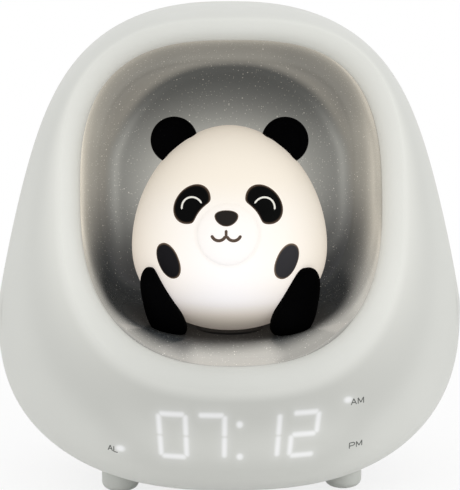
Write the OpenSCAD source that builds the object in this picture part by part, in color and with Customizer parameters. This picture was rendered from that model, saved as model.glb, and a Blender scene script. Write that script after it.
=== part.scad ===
// Bedside alarm clock for children: a hooded egg-shaped housing with a hidden
// LED display in its chin and a glowing panda lamp in its cave.
// Front is -Y, up is +Z, the clock stands on z = 0.

/* [Housing] */
// Width over the widest part of the housing
body_w = 146; // [134:1:158]
// Height of the crown above the table
body_top = 151.5; // [146:0.5:160]
// Height of the widest part above the table
widest_z = 57; // [52:1:62]
// Gap under the belly
belly_z = 3.5; // [3:0.5:5]
// Squareness of the crown outline
crown_n = 2.4; // [2.2:0.1:2.6]
// Squareness of the base outline
base_n = 2.75; // [2.4:0.05:3]
// How far the flanks are drawn in between crown and waist, as a share of the half width
flank = 0.07; // [0:0.01:0.1]
// Forward position of the face at mid height, in front of the origin of the seam
face_mid_y = -42; // [-46:1:-38]
// Backward lean of the face, rise over run
face_lean = 0.2; // [0.1:0.02:0.26]
// How far the face falls back at the full half width
face_sag = 38; // [30:1:44]
// Squareness of the section at the crown
hood_n = 2.1; // [2:0.1:2.6]
// Squareness of the section at the chin
chin_n = 3.7; // [3:0.1:4]
// Wall of both housing halves
wall = 2.2; // [1.8:0.1:2.6]

/* [Seam] */
// Place of the seam between the halves at mid height
seam_mid_y = -3; // [-5:0.5:0]
// Backward lean of the seam plane
seam_lean = 0.05; // [0:0.01:0.08]
// Gap between the halves at the seam
seam_gap = 0.15; // [0.1:0.05:0.3]
// Length of the locating tongue on the rear half
tongue_len = 2.6; // [2:0.1:4]

/* [Opening and cave] */
// Width of the cave mouth
opening_w = 93.6; // [88:0.2:96]
// Height of the cave mouth
opening_h = 96; // [92:0.5:97]
// Height of the middle of the mouth
opening_z = 93; // [92:0.5:94]
// Squareness of the mouth
opening_n = 2.7; // [2.3:0.1:3]
// Width of the rolled lip round the mouth
lip_w = 6.2; // [5:0.2:7]
// Depth of the rolled lip
lip_depth = 6.5; // [5:0.2:8]
// Wall of the cave liner
liner_wall = 1.6; // [1.2:0.1:2]
// Gap between the lip and the liner
liner_gap = 0.3; // [0.2:0.05:0.5]
// Gap between the panda's back and the back of the cave
cave_gap = 4.74; // [3:0.02:6]
// Squareness of the cave section at the crown and sides
cave_n = 3.2; // [2.6:0.1:4]
// Squareness of the cave section at the floor
floor_n = 9; // [7:0.5:10]

/* [Panda lamp] */
// Width of the panda
panda_w = 61.6; // [54:0.2:64]
// Height of the panda's seat above the table
panda_z = 49; // [48.5:0.1:49.5]
// Height from the seat to the widest part
panda_low = 26; // [24:0.5:28]
// Height from the widest part to the top of the head
panda_high = 38; // [34:0.5:40]
// Depth of the panda as a share of its width
panda_depth = 0.82; // [0.76:0.01:0.86]
// Turn of the panda towards the left
panda_turn = 4; // [0:1:8]
// Wall of the soft lamp body
skin = 2.4; // [2:0.1:3]
// Radius of an ear
ear_r = 7.4; // [6:0.1:8]
// Radius of the muzzle
muzzle_r = 9.6; // [8:0.1:10]
// Radius of the locating collar under the panda
collar_r = 10.4; // [9.6:0.1:11]

/* [Display] */
// Height of the middle of the digits above the table
digits_z = 25.6; // [24:0.1:27]
// Height of a digit between the middles of its bars
digit_h = 12.6; // [11:0.1:13]
// Width of a digit between the middles of its strokes
digit_w = 7.8; // [6:0.1:8]
// Width of a stroke
stroke = 1.6; // [1.2:0.1:2]
// Distance between the digits of a pair
digit_pitch = 11.6; // [10.8:0.1:12]
// Distance between the inner digits
pair_gap = 16.1; // [15.5:0.1:17]
// Depth of the display board behind the inside of the chin
board_depth = 12.8; // [12:0.2:16]
// Thickness of the circuit boards
board_t = 1.6; // [1.2:0.2:2]

/* [Rear panel] */
// Radius of the round opening in the rear half
panel_r = 47; // [46:0.5:50]
// Height of the middle of the rear panel
panel_z = 70; // [68:1:72]
// Room between the cave liner and the rear rim
rear_room = 18.4; // [18:0.2:22]
// Squareness of the rear section
rear_n = 2.3; // [2:0.1:2.6]
// Thickness of the rear panel
panel_t = 2; // [1.8:0.1:2.6]
// Gap round the rear panel
panel_gap = 0.4; // [0.3:0.05:0.6]
// Width of the ledge that carries the panel
ledge_w = 3.5; // [3:0.1:4.5]
// Radius of the small keys
key_r = 3.2; // [2.8:0.1:3.6]
// Radius of the large lamp key
lamp_key_r = 7.5; // [6.5:0.1:8]
// Travel of the keys
key_travel = 0.8; // [0.6:0.1:1]
// How far the keys stand out of the panel
key_proud = 1.4; // [1.2:0.1:2]
// Travel of the alarm slider
slider_travel = 4; // [3:0.5:4.5]
// Radius of the coin cell
cell_r = 10; // [8:0.5:10]
// Thickness of the coin cell
cell_t = 3.2; // [2.5:0.1:3.2]
// Radius of the loudspeaker
speaker_r = 13; // [11:0.5:13.5]

/* [Feet] */
// Radius of a foot
foot_r = 5.8; // [5:0.1:6.5]
// Half the distance between the front feet
foot_x = 35; // [32:0.5:37]
// Place of the front feet
front_foot_y = -15; // [-17:0.5:-14]
// Half the distance between the rear feet
rear_foot_x = 26; // [22:0.5:28]
// Place of the rear feet
rear_foot_y = 26; // [22:0.5:28]

/* [Hidden] */

// Points round each ring of the two housing halves and the liner
around = 64;
angles = [for (j = [0 : around - 1]) 360 * j / around];
// Steps from the seam to the lip, round the lip, and from the seam to the panel
face_steps = 10;
lip_steps = 4;
rear_steps = 8;
// Height at which the leans of seam and face are zero
lean_z = 75;
// Place of the back of the cave, and of the rear rim
cave_back_y = panda_depth * panda_w / 2 + cave_gap;
panel_y = cave_back_y + liner_wall + rear_room;
// Wall left for the tongue's rebate
rebate = wall / 2;
// Clearances
fit = 0.15;
slide_fit = 0.2;
seat_gap = 0.1;
min_gap = 0.3;
// Facets of turned parts that others fit into, and of small parts
turn_fn = 144;
fine_fn = 48;

function spow(v, p) = sign(v) * pow(abs(v), p);
function mix(a, b, t) = a + (b - a) * t;
function low_share(u) = pow((1 - sin(u)) / 2, 2);

// Outline of the housing seen from the front, drawn in by inset, as [x, z]
function outline_pt(u, inset) = let(
    n = sin(u) >= 0 ? crown_n : base_n,
    k = pow(abs(sin(u)), 2 / n),
    pinch = sin(u) >= 0 ? 1 - flank * sin(180 * k) : 1,
    rise = sin(u) >= 0 ? body_top - widest_z : widest_z - belly_z)
    [(body_w / 2 - inset) * spow(cos(u), 2 / n) * pinch,
        widest_z + sign(sin(u)) * (rise - inset) * k];

// Mouth of the cave, let out by grow, as [x, z]
function mouth_pt(u, grow) = [
    (opening_w / 2 + grow) * spow(cos(u), 2 / opening_n),
    opening_z + (opening_h / 2 + grow) * spow(sin(u), 2 / opening_n)];

function seam_y(z) = seam_mid_y + seam_lean * (z - lean_z);
function face_y(x, z) = face_mid_y + face_lean * (z - lean_z) + face_sag * pow(2 * x / body_w, 2);

// Front half, from the seam (a = 0) to the crest of the lip (a = 90)
function front_pt(u, a, inset) = let(
    o = outline_pt(u, inset),
    l = mouth_pt(u, lip_w),
    n = mix(hood_n, chin_n, low_share(u)),
    s = pow(cos(a), 2 / n),
    x = mix(l[0], o[0], s),
    z = mix(l[1], o[1], s),
    y0 = seam_y(o[1]))
    [x, y0 + min(face_y(x, z) + inset - y0, 0) * pow(sin(a), 2 / n), z];

// Rolled lip, from its crest (b = 0) to the edge of the mouth (b = 90)
function lip_pt(u, b, inset) = let(l = mouth_pt(u, lip_w), c = mouth_pt(u, inset))
    [mix(l[0], c[0], sin(b)),
        face_y(l[0], l[1]) + inset + (lip_depth - inset) * (1 - cos(b)),
        mix(l[1], c[1], sin(b))];

// Rear half, from the seam (c = 0) to the rim of the panel (c = 90)
function rear_pt(u, c, inset) = let(
    o = outline_pt(u, inset),
    s = pow(cos(c), 2 / rear_n),
    y0 = seam_y(o[1]) + seam_gap)
    [mix(panel_r * cos(u), o[0], s),
        mix(y0, panel_y - inset, pow(sin(c), 2 / rear_n)),
        mix(panel_z + panel_r * sin(u), o[1], s)];

// Ring that runs parallel to the seam, at a distance in front of it
function seam_ring(inset, ahead) = [for (u = angles) let(o = outline_pt(u, inset))
    [o[0], seam_y(o[1]) - ahead, o[1]]];
function panel_ring(r, y) = [for (u = angles) [r * cos(u), y, panel_z + r * sin(u)]];

// Cave liner, from its edge behind the lip (w = 0) to the middle of its back (w = 90)
function cave_pt(u, w, grow) = let(
    c = mouth_pt(u, grow),
    l = mouth_pt(u, lip_w),
    n = mix(cave_n, floor_n, low_share(u)),
    s = pow(cos(w), 2 / n),
    y0 = face_y(l[0], l[1]) + lip_depth + liner_gap)
    [c[0] * s, mix(y0, cave_back_y + grow, pow(sin(w), 2 / n)), mix(opening_z, c[1], s)];

// Floor of the cave at x
function floor_at(x) = opening_z
    - opening_h / 2 * pow(1 - pow(2 * x / opening_w, opening_n), 1 / opening_n);

// Underside of the housing at the seam, and of its rear half at (x, y)
function belly_at(x) = widest_z
    - (widest_z - belly_z) * pow(1 - pow(2 * abs(x) / body_w, base_n), 1 / base_n);
function rear_belly_at(x, y) = let(
    c = asin(pow((y - seam_mid_y) / (panel_y - seam_mid_y), rear_n / 2)),
    s = pow(cos(c), 2 / rear_n))
    mix(panel_z - sqrt(pow(panel_r, 2) - pow(x, 2)), belly_at(x), s);

// Overall depth, for standing the clock over the origin
chin_line = [for (a = [30 : 1 : 90]) front_pt(270, a, 0)];
front_y = min([for (p = chin_line) p[1]]);
panel_back = panel_y + fit / 3;
rear_y = panel_back + key_proud;
shift_y = -(front_y + rear_y) / 2;

// Rear stack: places of the parts behind the panel, from its inside forwards
panel_in = panel_back - panel_t;
ledge_y = panel_in - fit / 3;
ledge_t = 2;
ledge_r = panel_r - ledge_w;
cover_r = panel_r - panel_gap;
boss_reach = panel_r - 6.5;
boss_r = 4;
boss_len = 10;
screw_r = 1.3;
// Small screws: shank, hole it cuts its thread in, and hole it passes through
small_r = 0.8;
pilot_r = 0.9;
pass_r = 1.2;
recess = 0.9;
recess_r = 2.5;
bevel = 0.5;
flange_t = 0.8;
flange_y = panel_in - fit - flange_t;
switch_h = 2.6;
board_y = flange_y - seat_gap - key_travel - switch_h - board_t - 0.7;
stem_y = board_y + board_t + switch_h + key_travel + seat_gap;
chassis_t = 2;
post_len = 3;
post_r = 3;
chassis_y = board_y - post_len - chassis_t - fit / 3;
chassis_r = 36;

// Places on the rear panel, as [x, z]; +x is the right hand seen from the front
key_row_z = panel_z + 12;
key_pitch = 12;
key_rim = 1;
key_stem_r = 1.5;
key_at = [for (k = [-2 : 2]) [k * key_pitch, key_row_z]];
lamp_key_at = [0, panel_z + 28];
cover_face_r = cell_r + 1.5;
lug_len = 1.7;
cell_at = [-cell_r - 10, key_row_z - key_r - key_rim - cover_face_r - lug_len - 0.6];
slider_at = [24, panel_z + 1];
usb_at = [24, panel_z - 9];
speaker_at = [0, panel_z - speaker_r - 14];
post_at = [[-20, panel_z + 23], [20, panel_z + 23], [27, panel_z - 16], [-8, panel_z + 5]];
liner_boss_at = [for (x = [-11, 11]) for (z = [-7, 7]) [x, opening_z + z]];
boss_at = [for (t = [45 : 90 : 315]) [boss_reach * cos(t), panel_z + boss_reach * sin(t)]];

// Panda
panda_mid_z = panda_z + panda_low;
panda_foot_r = 16;
ear_x = 17.4;
ear_z = panda_mid_z + 33.3;
ear_t = 6.4;
ear_edge = 3.4;
muzzle_z = panda_mid_z + 7;
muzzle_t = 3.4;
muzzle_sink = 1.9;
knee_r = 3.2;
sole_r = 6.75;
sole_end = 3.8;
// The seat's flange rests on the liner's floor, which rises to the sides
seat_r = panda_foot_r - 0.6;
seat_t = panda_z - floor_at(seat_r) - fit;
neck_r = 12.8;
neck_len = 5.8;
bore_r = 9;
lamp_screw_x = 11;
lamp_board_z = panda_z - seat_t - neck_len - board_t - fit / 3;

// Display, in a frame that leans with the chin
digit_at = [for (k = [-1, 1]) for (m = [-1, 1]) k * (pair_gap + digit_pitch) / 2 + m * digit_pitch / 2];
colon_at = [for (z = [3.5, -6.1]) [0.35, digits_z + z]];
mask_w = 62;
mask_h = 18.4;
mask_screw_x = mask_w / 2 - 2.4;
chin_axis_y = chin_front(digits_z) + pow(body_w, 2) / (8 * face_sag);
film_t = 0.8;
mask_gap = 0.6;
led_h = 1;
pipe_r = 1.1;
pipe_at = [[-35, 20.1], [33.6, 34.2], [33.9, 20.6]];
function chin_front(z) = face_y(0, z);
board_face = chin_front(digits_z) + wall + board_depth;

module placed() translate([0, shift_y, 0]) children();
// Local +Z runs to the rear, local -Y runs up
module rearward(at, y) translate([at[0], y, at[1]]) rotate([-90, 0, 0]) children();
module rod(r, h, fn = fine_fn) cylinder(r = r, h = h, $fn = fn);

// Closed solid from rings of equal point counts, the last joined to the first
module ring_solid(rings) {
    n = len(rings[0]);
    m = len(rings);
    polyhedron([for (r = rings) each r],
        [for (i = [0 : m - 1]) for (j = [0 : n - 1]) let(
            a = i * n + j, b = i * n + (j + 1) % n,
            c = ((i + 1) % m) * n + (j + 1) % n, d = ((i + 1) % m) * n + j)
            each [[a, b, c], [a, c, d]]]);
}

// Closed solid from rings that start and end in a point
module bowl_solid(rings, first, last) {
    n = len(rings[0]);
    m = len(rings);
    polyhedron([first, for (r = rings) each r, last], [
        for (j = [0 : n - 1]) [0, 1 + (j + 1) % n, 1 + j],
        for (i = [0 : m - 2]) for (j = [0 : n - 1]) let(
            a = 1 + i * n + j, b = 1 + i * n + (j + 1) % n,
            c = 1 + (i + 1) * n + (j + 1) % n, d = 1 + (i + 1) * n + j)
            each [[a, b, c], [a, c, d]],
        for (j = [0 : n - 1]) [1 + m * n, 1 + (m - 1) * n + j, 1 + (m - 1) * n + (j + 1) % n]]);
}

// Housing

module front_shell() ring_solid([
    for (i = [0 : face_steps - 1]) [for (u = angles) front_pt(u, 90 * i / face_steps, 0)],
    for (i = [0 : lip_steps]) [for (u = angles) lip_pt(u, 90 * i / lip_steps, 0)],
    for (i = [lip_steps : -1 : 1]) [for (u = angles) lip_pt(u, 90 * i / lip_steps, wall)],
    for (i = [rear_steps : -1 : 1]) [for (u = angles) front_pt(u, 90 * i / rear_steps, wall)],
    seam_ring(wall, tongue_len + fit),
    seam_ring(rebate, tongue_len + fit),
    seam_ring(rebate, 0)]);

module front_housing() color("whitesmoke") placed() difference() {
    front_shell();
    for (s = [-1, 1]) translate([s * foot_x, front_foot_y, 0]) rod(foot_r + fit, belly_at(foot_x) + 12);
}

module rear_shell() ring_solid([
    for (i = [rear_steps : -1 : 1]) [for (u = angles) rear_pt(u, 90 * i / rear_steps, wall)],
    seam_ring(wall, tongue_len),
    seam_ring(rebate + fit, tongue_len),
    seam_ring(rebate + fit, -seam_gap),
    for (i = [0 : rear_steps]) [for (u = angles) rear_pt(u, 90 * i / rear_steps, 0)],
    panel_ring(panel_r, ledge_y),
    panel_ring(ledge_r, ledge_y),
    panel_ring(ledge_r, ledge_y - ledge_t),
    panel_ring(panel_r - seam_gap, ledge_y - ledge_t)]);

module rear_housing() color("whitesmoke") placed() difference() {
    union() {
        rear_shell();
        for (p = boss_at) rearward(p, ledge_y - boss_len) rod(boss_r, boss_len);
    }
    for (p = boss_at) rearward(p, ledge_y - boss_len - 1) rod(screw_r, boss_len + 2);
    for (s = [-1, 1]) translate([s * rear_foot_x, rear_foot_y, 0]) rod(foot_r + fit, 24);
}

module cavity_liner() color("dimgray") placed() difference() {
    union() {
        bowl_solid([
            for (i = [9 : -1 : 0]) [for (u = angles) cave_pt(u, 9 * i, 0)],
            for (i = [0 : 9]) [for (u = angles) cave_pt(u, 9 * i, liner_wall)]],
            [0, cave_back_y, opening_z], [0, cave_back_y + liner_wall, opening_z]);
        for (p = liner_boss_at) rearward(p, cave_back_y + liner_wall / 2)
            rod(post_r, chassis_y - cave_back_y - liner_wall / 2 - fit / 3);
    }
    for (p = liner_boss_at) rearward(p, cave_back_y + liner_wall) rod(pilot_r, 12);
    translate([0, 0, lamp_board_z]) rod(neck_r + min_gap, 14);
}

// Foot: a soft plug through the base wall, rounded where it meets the table
module foot(x, y, top) color("silver") placed() translate([x, y, 0]) rotate_extrude($fn = fine_fn) {
    translate([0, 2]) square([foot_r, top - 2]);
    square([foot_r - 2, 2 + seat_gap]);
    translate([foot_r - 2, 2]) circle(r = 2, $fn = 32);
}
front_foot_top = belly_at(foot_x) + wall + 5;
rear_foot_top = rear_belly_at(rear_foot_x, rear_foot_y + foot_r) + wall + 1;
module front_left_foot() foot(-foot_x, front_foot_y, front_foot_top);
module front_right_foot() foot(foot_x, front_foot_y, front_foot_top);
module rear_left_foot() foot(-rear_foot_x, rear_foot_y, rear_foot_top);
module rear_right_foot() foot(rear_foot_x, rear_foot_y, rear_foot_top);

// Screw with its head at local z = 0 .. head_h and its shank below
module screw(r, len, head_r = 2.3, head_h = 1.4) {
    difference() {
        rod(head_r, head_h);
        for (t = [0, 90]) rotate(t) translate([-head_r * 0.6, -0.3, head_h - 0.7])
            cube([head_r * 1.2, 0.6, 1]);
    }
    translate([0, 0, -len]) rod(r, len + 0.1);
}

// Rear panel and its keys

module key_hole(r) translate([0, 0, -1]) rod(r + slide_fit, panel_t + 2);
module slot(w, h, depth) {
    translate([-(w - h) / 2, -h / 2, 0]) cube([w - h, h, depth]);
    for (s = [-1, 1]) translate([s * (w - h) / 2, 0, 0]) rod(h / 2, depth);
}
module window(w, h) translate([-w / 2, -h / 2, 0]) cube([w, h, panel_t + 2]);
lug_span = 28;
grille_r = 0.9;
grille_pitch = 4;
module sector(r0, r1, span, h) rotate(-span / 2) rotate_extrude(angle = span, $fn = fine_fn)
    translate([r0, 0]) square([r1 - r0, h]);

module rear_panel() color("gainsboro") placed() difference() {
    rearward([0, panel_z], panel_in) {
        rod(cover_r, panel_t - bevel, turn_fn);
        translate([0, 0, panel_t - bevel - seat_gap]) rod(cover_r - bevel, bevel + seat_gap, turn_fn);
    }
    for (p = key_at) rearward(p, panel_in) key_hole(key_r);
    rearward(lamp_key_at, panel_in) key_hole(lamp_key_r);
    rearward(cell_at, panel_in - 1) {
        rod(cover_face_r + slide_fit, panel_t + 2, turn_fn);
        for (t = [60 : 120 : 300]) rotate(t)
            sector(cover_face_r - 1, cover_face_r + lug_len + slide_fit, lug_span + 6, panel_t + 2);
    }
    rearward(slider_at, panel_in - 1)
        window(slider_w + slider_travel + 2 * slide_fit, slider_h + 2 * slide_fit);
    rearward(usb_at, panel_in - 1) slot(usb_w + 2 * slide_fit, usb_h + 2 * slide_fit, panel_t + 2);
    for (p = boss_at) rearward(p, panel_in - 1) rod(screw_r + 0.3, panel_t + 2);
    for (p = boss_at) rearward(p, panel_back - recess) rod(recess_r, panel_t);
    for (ring = [0 : 2]) for (k = [0 : max(0, ring * 6 - 1)])
        rearward(speaker_at, panel_in - 1) rotate(60 / max(1, ring) * k)
            translate([grille_pitch * ring, 0, 0]) rod(grille_r, panel_t + 2, 24);
}

module panel_screws() color("silver") placed() for (p = boss_at)
    rearward(p, panel_back - recess + fit / 3)
        screw(screw_r - seat_gap, boss_len - 2, recess_r - min_gap, recess - seat_gap);

module key(at, r) color("whitesmoke") placed() rearward(at, stem_y) {
    rod(key_stem_r, flange_y - stem_y + seat_gap);
    translate([0, 0, flange_y - stem_y]) rod(r + key_rim, flange_t);
    translate([0, 0, flange_y - stem_y]) rod(r, panel_back + key_proud - bevel - flange_y);
    translate([0, 0, panel_back + key_proud - bevel - stem_y - seat_gap]) rod(r - bevel, bevel + seat_gap);
}
module lamp_key() key(lamp_key_at, lamp_key_r);
module set_key() key(key_at[0], key_r);
module alarm_key() key(key_at[1], key_r);
module minus_key() key(key_at[2], key_r);
module plus_key() key(key_at[3], key_r);
module sound_key() key(key_at[4], key_r);

slider_w = 5;
slider_h = 3;
slider_rest = [slider_at[0] - slider_travel / 2, slider_at[1]];
module alarm_slider() color("dimgray") placed() rearward(slider_rest, flange_y) {
    translate([-slider_w / 2, -slider_h / 2, 0]) difference() {
        cube([slider_w, slider_h, panel_back + 1 - flange_y]);
        for (k = [-1 : 1]) translate([slider_w / 2 - 0.2 + k * 1.2, -1, panel_back + 0.7 - flange_y])
            cube([0.4, slider_h + 2, 1]);
    }
    translate([-slider_w / 2 - slider_travel, -slider_h / 2 - 1, 0])
        cube([slider_w + 2 * slider_travel, slider_h + 2, flange_t]);
}

module cell_cover() color("gainsboro") placed() rearward(cell_at, panel_in) difference() {
    union() {
        rod(cover_face_r, panel_t, turn_fn);
        translate([0, 0, -fit - flange_t]) rod(cover_face_r - 1, fit + flange_t + seat_gap);
        for (t = [0, 120, 240]) rotate(t) translate([0, 0, -fit - flange_t])
            sector(cover_face_r - 2, cover_face_r + lug_len, lug_span, flange_t);
    }
    translate([-cover_face_r * 0.6, -0.8, panel_t - 1]) cube([cover_face_r * 1.2, 1.6, 2]);
}

// Boards behind the rear panel

module main_board() color("seagreen") placed() difference() {
    rearward([0, panel_z], board_y) rod(chassis_r, board_t, turn_fn);
    translate([-50, board_y - 1, panel_z - 60]) cube([100, board_t + 2, 60 - 17.5]);
    rearward(speaker_at, board_y - 1) rod(speaker_r + 1.5, board_t + 2);
    for (p = post_at) rearward(p, board_y - 1) rod(pass_r, board_t + 2);
}

module chassis() color("lightgray") placed() difference() {
    union() {
        difference() {
            rearward([0, panel_z], chassis_y) rod(chassis_r, chassis_t, turn_fn);
            translate([-50, chassis_y - 1, panel_z - 60]) cube([100, chassis_t + 2, 60 - 20]);
            rearward(speaker_at, chassis_y - 1) rod(speaker_r + 1.5, chassis_t + 2);
        }
        for (p = post_at) rearward(p, chassis_y + chassis_t - seat_gap) rod(post_r, post_len + seat_gap);
    }
    for (p = post_at) rearward(p, chassis_y - 1) rod(pilot_r, chassis_t + post_len + 2);
    for (p = liner_boss_at) rearward(p, chassis_y - 1) rod(pass_r, chassis_t + 2);
    for (x = [-1, 1]) translate([x * 27 - 4, chassis_y - 1, panel_z + 2]) cube([8, chassis_t + 2, 8]);
}

module chassis_screws() color("silver") placed() for (p = liner_boss_at)
    rearward(p, chassis_y + chassis_t + fit / 3) screw(small_r, chassis_t + 3);
module board_screws() color("silver") placed() for (p = post_at)
    rearward(p, board_y + board_t + fit / 3) screw(small_r, board_t + 3);

module on_board(at) rearward(at, board_y + board_t + fit / 3) children();
module controller_chip() color("black") placed() {
    on_board([9, panel_z + 28]) translate([-3, -3, 0]) cube([6, 6, 1.1]);
    on_board([-9, panel_z + 28]) translate([-3.5, -3.5, 0]) cube([7, 7, 1.2]);
    on_board([0, panel_z - 3]) translate([-3, -3, 0]) cube([6, 6, 1.1]);
    on_board([8, panel_z - 6]) translate([-2, -2, 0]) cube([3.2, 2.5, 1.4]);
    on_board([14, panel_z - 9]) rod(2.5, 3.4);
}
module tact_switches() color("dimgray") placed() for (p = concat(key_at, [lamp_key_at]))
    on_board(p) {
        translate([-3, -3, 0]) cube([6, 6, switch_h - 0.7]);
        rod(1.7, switch_h - fit / 3);
    }
module slide_switch() color("silver") placed() on_board(slider_at)
    translate([-4.5, -1.8, 0]) cube([9, 3.6, flange_y - board_y - board_t - min_gap]);

usb_w = 9;
usb_h = 3.2;
usb_wall = 0.35;
module usb_socket() color("silver") placed() on_board(usb_at) {
    usb_len = panel_back - board_y - board_t - 0.4;
    difference() {
        slot(usb_w, usb_h, usb_len);
        translate([0, 0, 1]) slot(usb_w - 2 * usb_wall, usb_h - 2 * usb_wall, usb_len);
    }
    translate([-3.3, -0.35, 0.5]) cube([6.6, 0.7, usb_len - 1.5]);
}

cell_y = panel_in - fit - flange_t - min_gap - cell_t;
module cell_holder() color("black") placed() rearward(cell_at, board_y + board_t + fit / 3) difference() {
    rod(cell_r + 1.5, cell_y - board_y - board_t + cell_t * 0.6, turn_fn);
    translate([0, 0, cell_y - board_y - board_t - fit]) rod(cell_r + slide_fit, cell_t + 2, turn_fn);
    for (t = [0, 90]) rotate(t) translate([-20, -3, cell_y - board_y - board_t]) cube([40, 6, 5]);
}
module coin_cell() color("silver") placed() rearward(cell_at, cell_y) {
    rod(cell_r - 0.4, 0.6);
    translate([0, 0, 0.5]) rod(cell_r, cell_t - 0.5);
}

// Loudspeaker behind the grille
speaker_y = panel_in - fit;
module speaker_frame() color("dimgray") placed() rearward(speaker_at, speaker_y) rotate_extrude($fn = 96)
    polygon([[speaker_r, 0], [speaker_r, -1.2], [speaker_r - 2, -1.4], [7, -6], [3, -6],
        [3, -5], [6.4, -5], [speaker_r - 3, -0.6], [speaker_r - 3, 0]]);
module speaker_magnet() color("gray") placed() rearward(speaker_at, speaker_y - 6 - fit / 3 - 3.5) {
    rod(7.5, 3.5);
    translate([0, 0, -1]) rod(6.5, 1.1);
}
module speaker_cone() color("black") placed() rearward(speaker_at, speaker_y) rotate_extrude($fn = 96)
    polygon([[speaker_r - 3.1, -0.2], [4, -3], [2.5, -1.6], [0, -1.2], [0, -1.8], [2.5, -2.2],
        [2.8, -4.4], [3.4, -4.4], [4, -3.6], [speaker_r - 3.1, -0.7]]);

// Display behind the chin

// Turned solid whose side follows the inside of the chin, set back by inset
chin_profile = [for (a = [40 : 4 : 88]) a];
module chin_core(inset) translate([0, chin_axis_y, 0]) rotate_extrude($fn = 360) polygon([
    [0, front_pt(270, 40, inset)[2]],
    for (a = chin_profile) let(p = front_pt(270, a, inset)) [chin_axis_y - p[1], p[2]],
    [chin_axis_y - front_pt(270, 90, inset)[1], front_pt(270, 90, inset)[2]],
    [0, front_pt(270, 90, inset)[2]]]);
module display_block(w, h) translate([-w / 2, board_face - board_depth - 7, digits_z - h / 2])
    cube([w, board_depth + 7 - fit / 3, h]);
module segment(w, h) translate([-w / 2, 0, -h / 2]) cube([w, 80, h]);
module segment_wells() for (x = digit_at) translate([x, board_face - 60, digits_z]) {
    bar = digit_w - stroke - 1;
    post = digit_h / 2 - stroke - 0.6;
    for (k = [-1 : 1]) translate([0, 0, k * digit_h / 2]) segment(bar, stroke);
    for (m = [-1, 1]) for (k = [-1, 1])
        translate([m * digit_w / 2, 0, k * digit_h / 4]) segment(stroke, post);
}
module colon_wells() for (p = colon_at) rearward(p, board_face - 60) rod(stroke / 2, 80, 24);

module display_mask() color("black") placed() difference() {
    intersection() {
        chin_core(wall + mask_gap + film_t + fit);
        display_block(mask_w, mask_h);
    }
    segment_wells();
    colon_wells();
    for (s = [-1, 1]) rearward([s * mask_screw_x, digits_z], board_face - 6) rod(pilot_r, 12);
}
module display_diffuser() color("whitesmoke") placed() difference() {
    intersection() {
        chin_core(wall + mask_gap);
        display_block(mask_w, mask_h);
    }
    chin_core(wall + mask_gap + film_t);
}
display_board_w = 2 * (max([for (p = pipe_at) abs(p[0])]) + 2.4);
display_board_h = 22;
board_corner = 6;
module display_board() color("seagreen") placed() difference() {
    w = display_board_w / 2;
    h = display_board_h / 2;
    translate([0, board_face + board_t, digits_z + 1.5]) rotate([90, 0, 0]) linear_extrude(board_t)
        polygon([[-w, h], [-w, board_corner - h], [board_corner - w, -h],
            [w - board_corner, -h], [w, board_corner - h], [w, h]]);
    for (s = [-1, 1]) rearward([s * mask_screw_x, digits_z], board_face - 1) rod(pass_r, board_t + 2);
}
module led(w, h) translate([-w / 2, -led_h - fit / 3, -h / 2]) cube([w, led_h, h]);
module display_leds() color("lightyellow") placed() {
    for (x = digit_at) translate([x, board_face, digits_z]) {
        for (k = [-1 : 1]) translate([0, 0, k * digit_h / 2]) led(2, 1.2);
        for (m = [-1, 1]) for (k = [-1, 1]) translate([m * digit_w / 2, 0, k * digit_h / 4]) led(1.2, 2);
    }
    for (p = colon_at) translate([p[0], board_face, p[1]]) led(1, 1);
}
module display_screws() color("silver") placed() for (s = [-1, 1])
    rearward([s * mask_screw_x, digits_z], board_face + board_t + fit / 3) screw(small_r, 5);

// Light pipes of the alarm, morning and afternoon lights
module indicator_pipes() color("aliceblue") placed() for (p = pipe_at) intersection() {
    rearward(p, board_face - 30) rod(pipe_r, 30 - fit / 3, 32);
    chin_core(wall + mask_gap + 0.4);
}

// Panda lamp

module lamp_seat() color("dimgray") placed() translate([0, 0, panda_z]) difference() {
    rotate_extrude($fn = turn_fn) difference() {
        union() {
            translate([0, -seat_t]) square([seat_r, seat_t]);
            translate([0, -seat_t - neck_len]) square([neck_r, neck_len + seat_t]);
            square([collar_r, skin + 0.6]);
        }
        translate([-1, -20]) square([bore_r + 1, 40]);
    }
    for (s = [-1, 1]) translate([s * lamp_screw_x, 0, -seat_t - neck_len - 1]) rod(0.7, 5);
}
module lamp_board() color("white") placed() difference() {
    translate([0, 0, lamp_board_z]) rod(neck_r, board_t, turn_fn);
    for (s = [-1, 1]) translate([s * lamp_screw_x, 0, lamp_board_z - 1]) rod(1, board_t + 2);
}
module lamp_leds() color("lightyellow") placed() for (k = [0 : 5]) rotate(60 * k)
    translate([5.5 - 1.5, -1.5, lamp_board_z + board_t + fit / 3]) cube([3, 3, 1]);
module lamp_screws() color("silver") placed() for (s = [-1, 1])
    translate([s * lamp_screw_x, 0, lamp_board_z - fit / 3]) rotate([180, 0, 0])
        screw(0.6, board_t + 3, 1.6, 1);

// Egg-shaped outside of the panda, let out by grow: two half ellipsoids that
// meet at the widest part, the lower one cut off flat at the seat
panda_drop = panda_low / sqrt(1 - pow(2 * panda_foot_r / panda_w, 2));
module half_egg(high, grow, low, top) intersection() {
    scale([panda_w / 2 + grow, panda_depth * panda_w / 2 + grow, high + grow]) sphere(r = 1, $fn = turn_fn);
    translate([-panda_w, -panda_w, -low]) cube([2 * panda_w, 2 * panda_w, low + top]);
}
module egg(grow, low) translate([0, 0, panda_mid_z]) {
    half_egg(panda_high, grow, 0, 2 * panda_high);
    half_egg(panda_drop, grow, low, 0);
}
module panda_frame() placed() rotate(-panda_turn) children();
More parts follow.
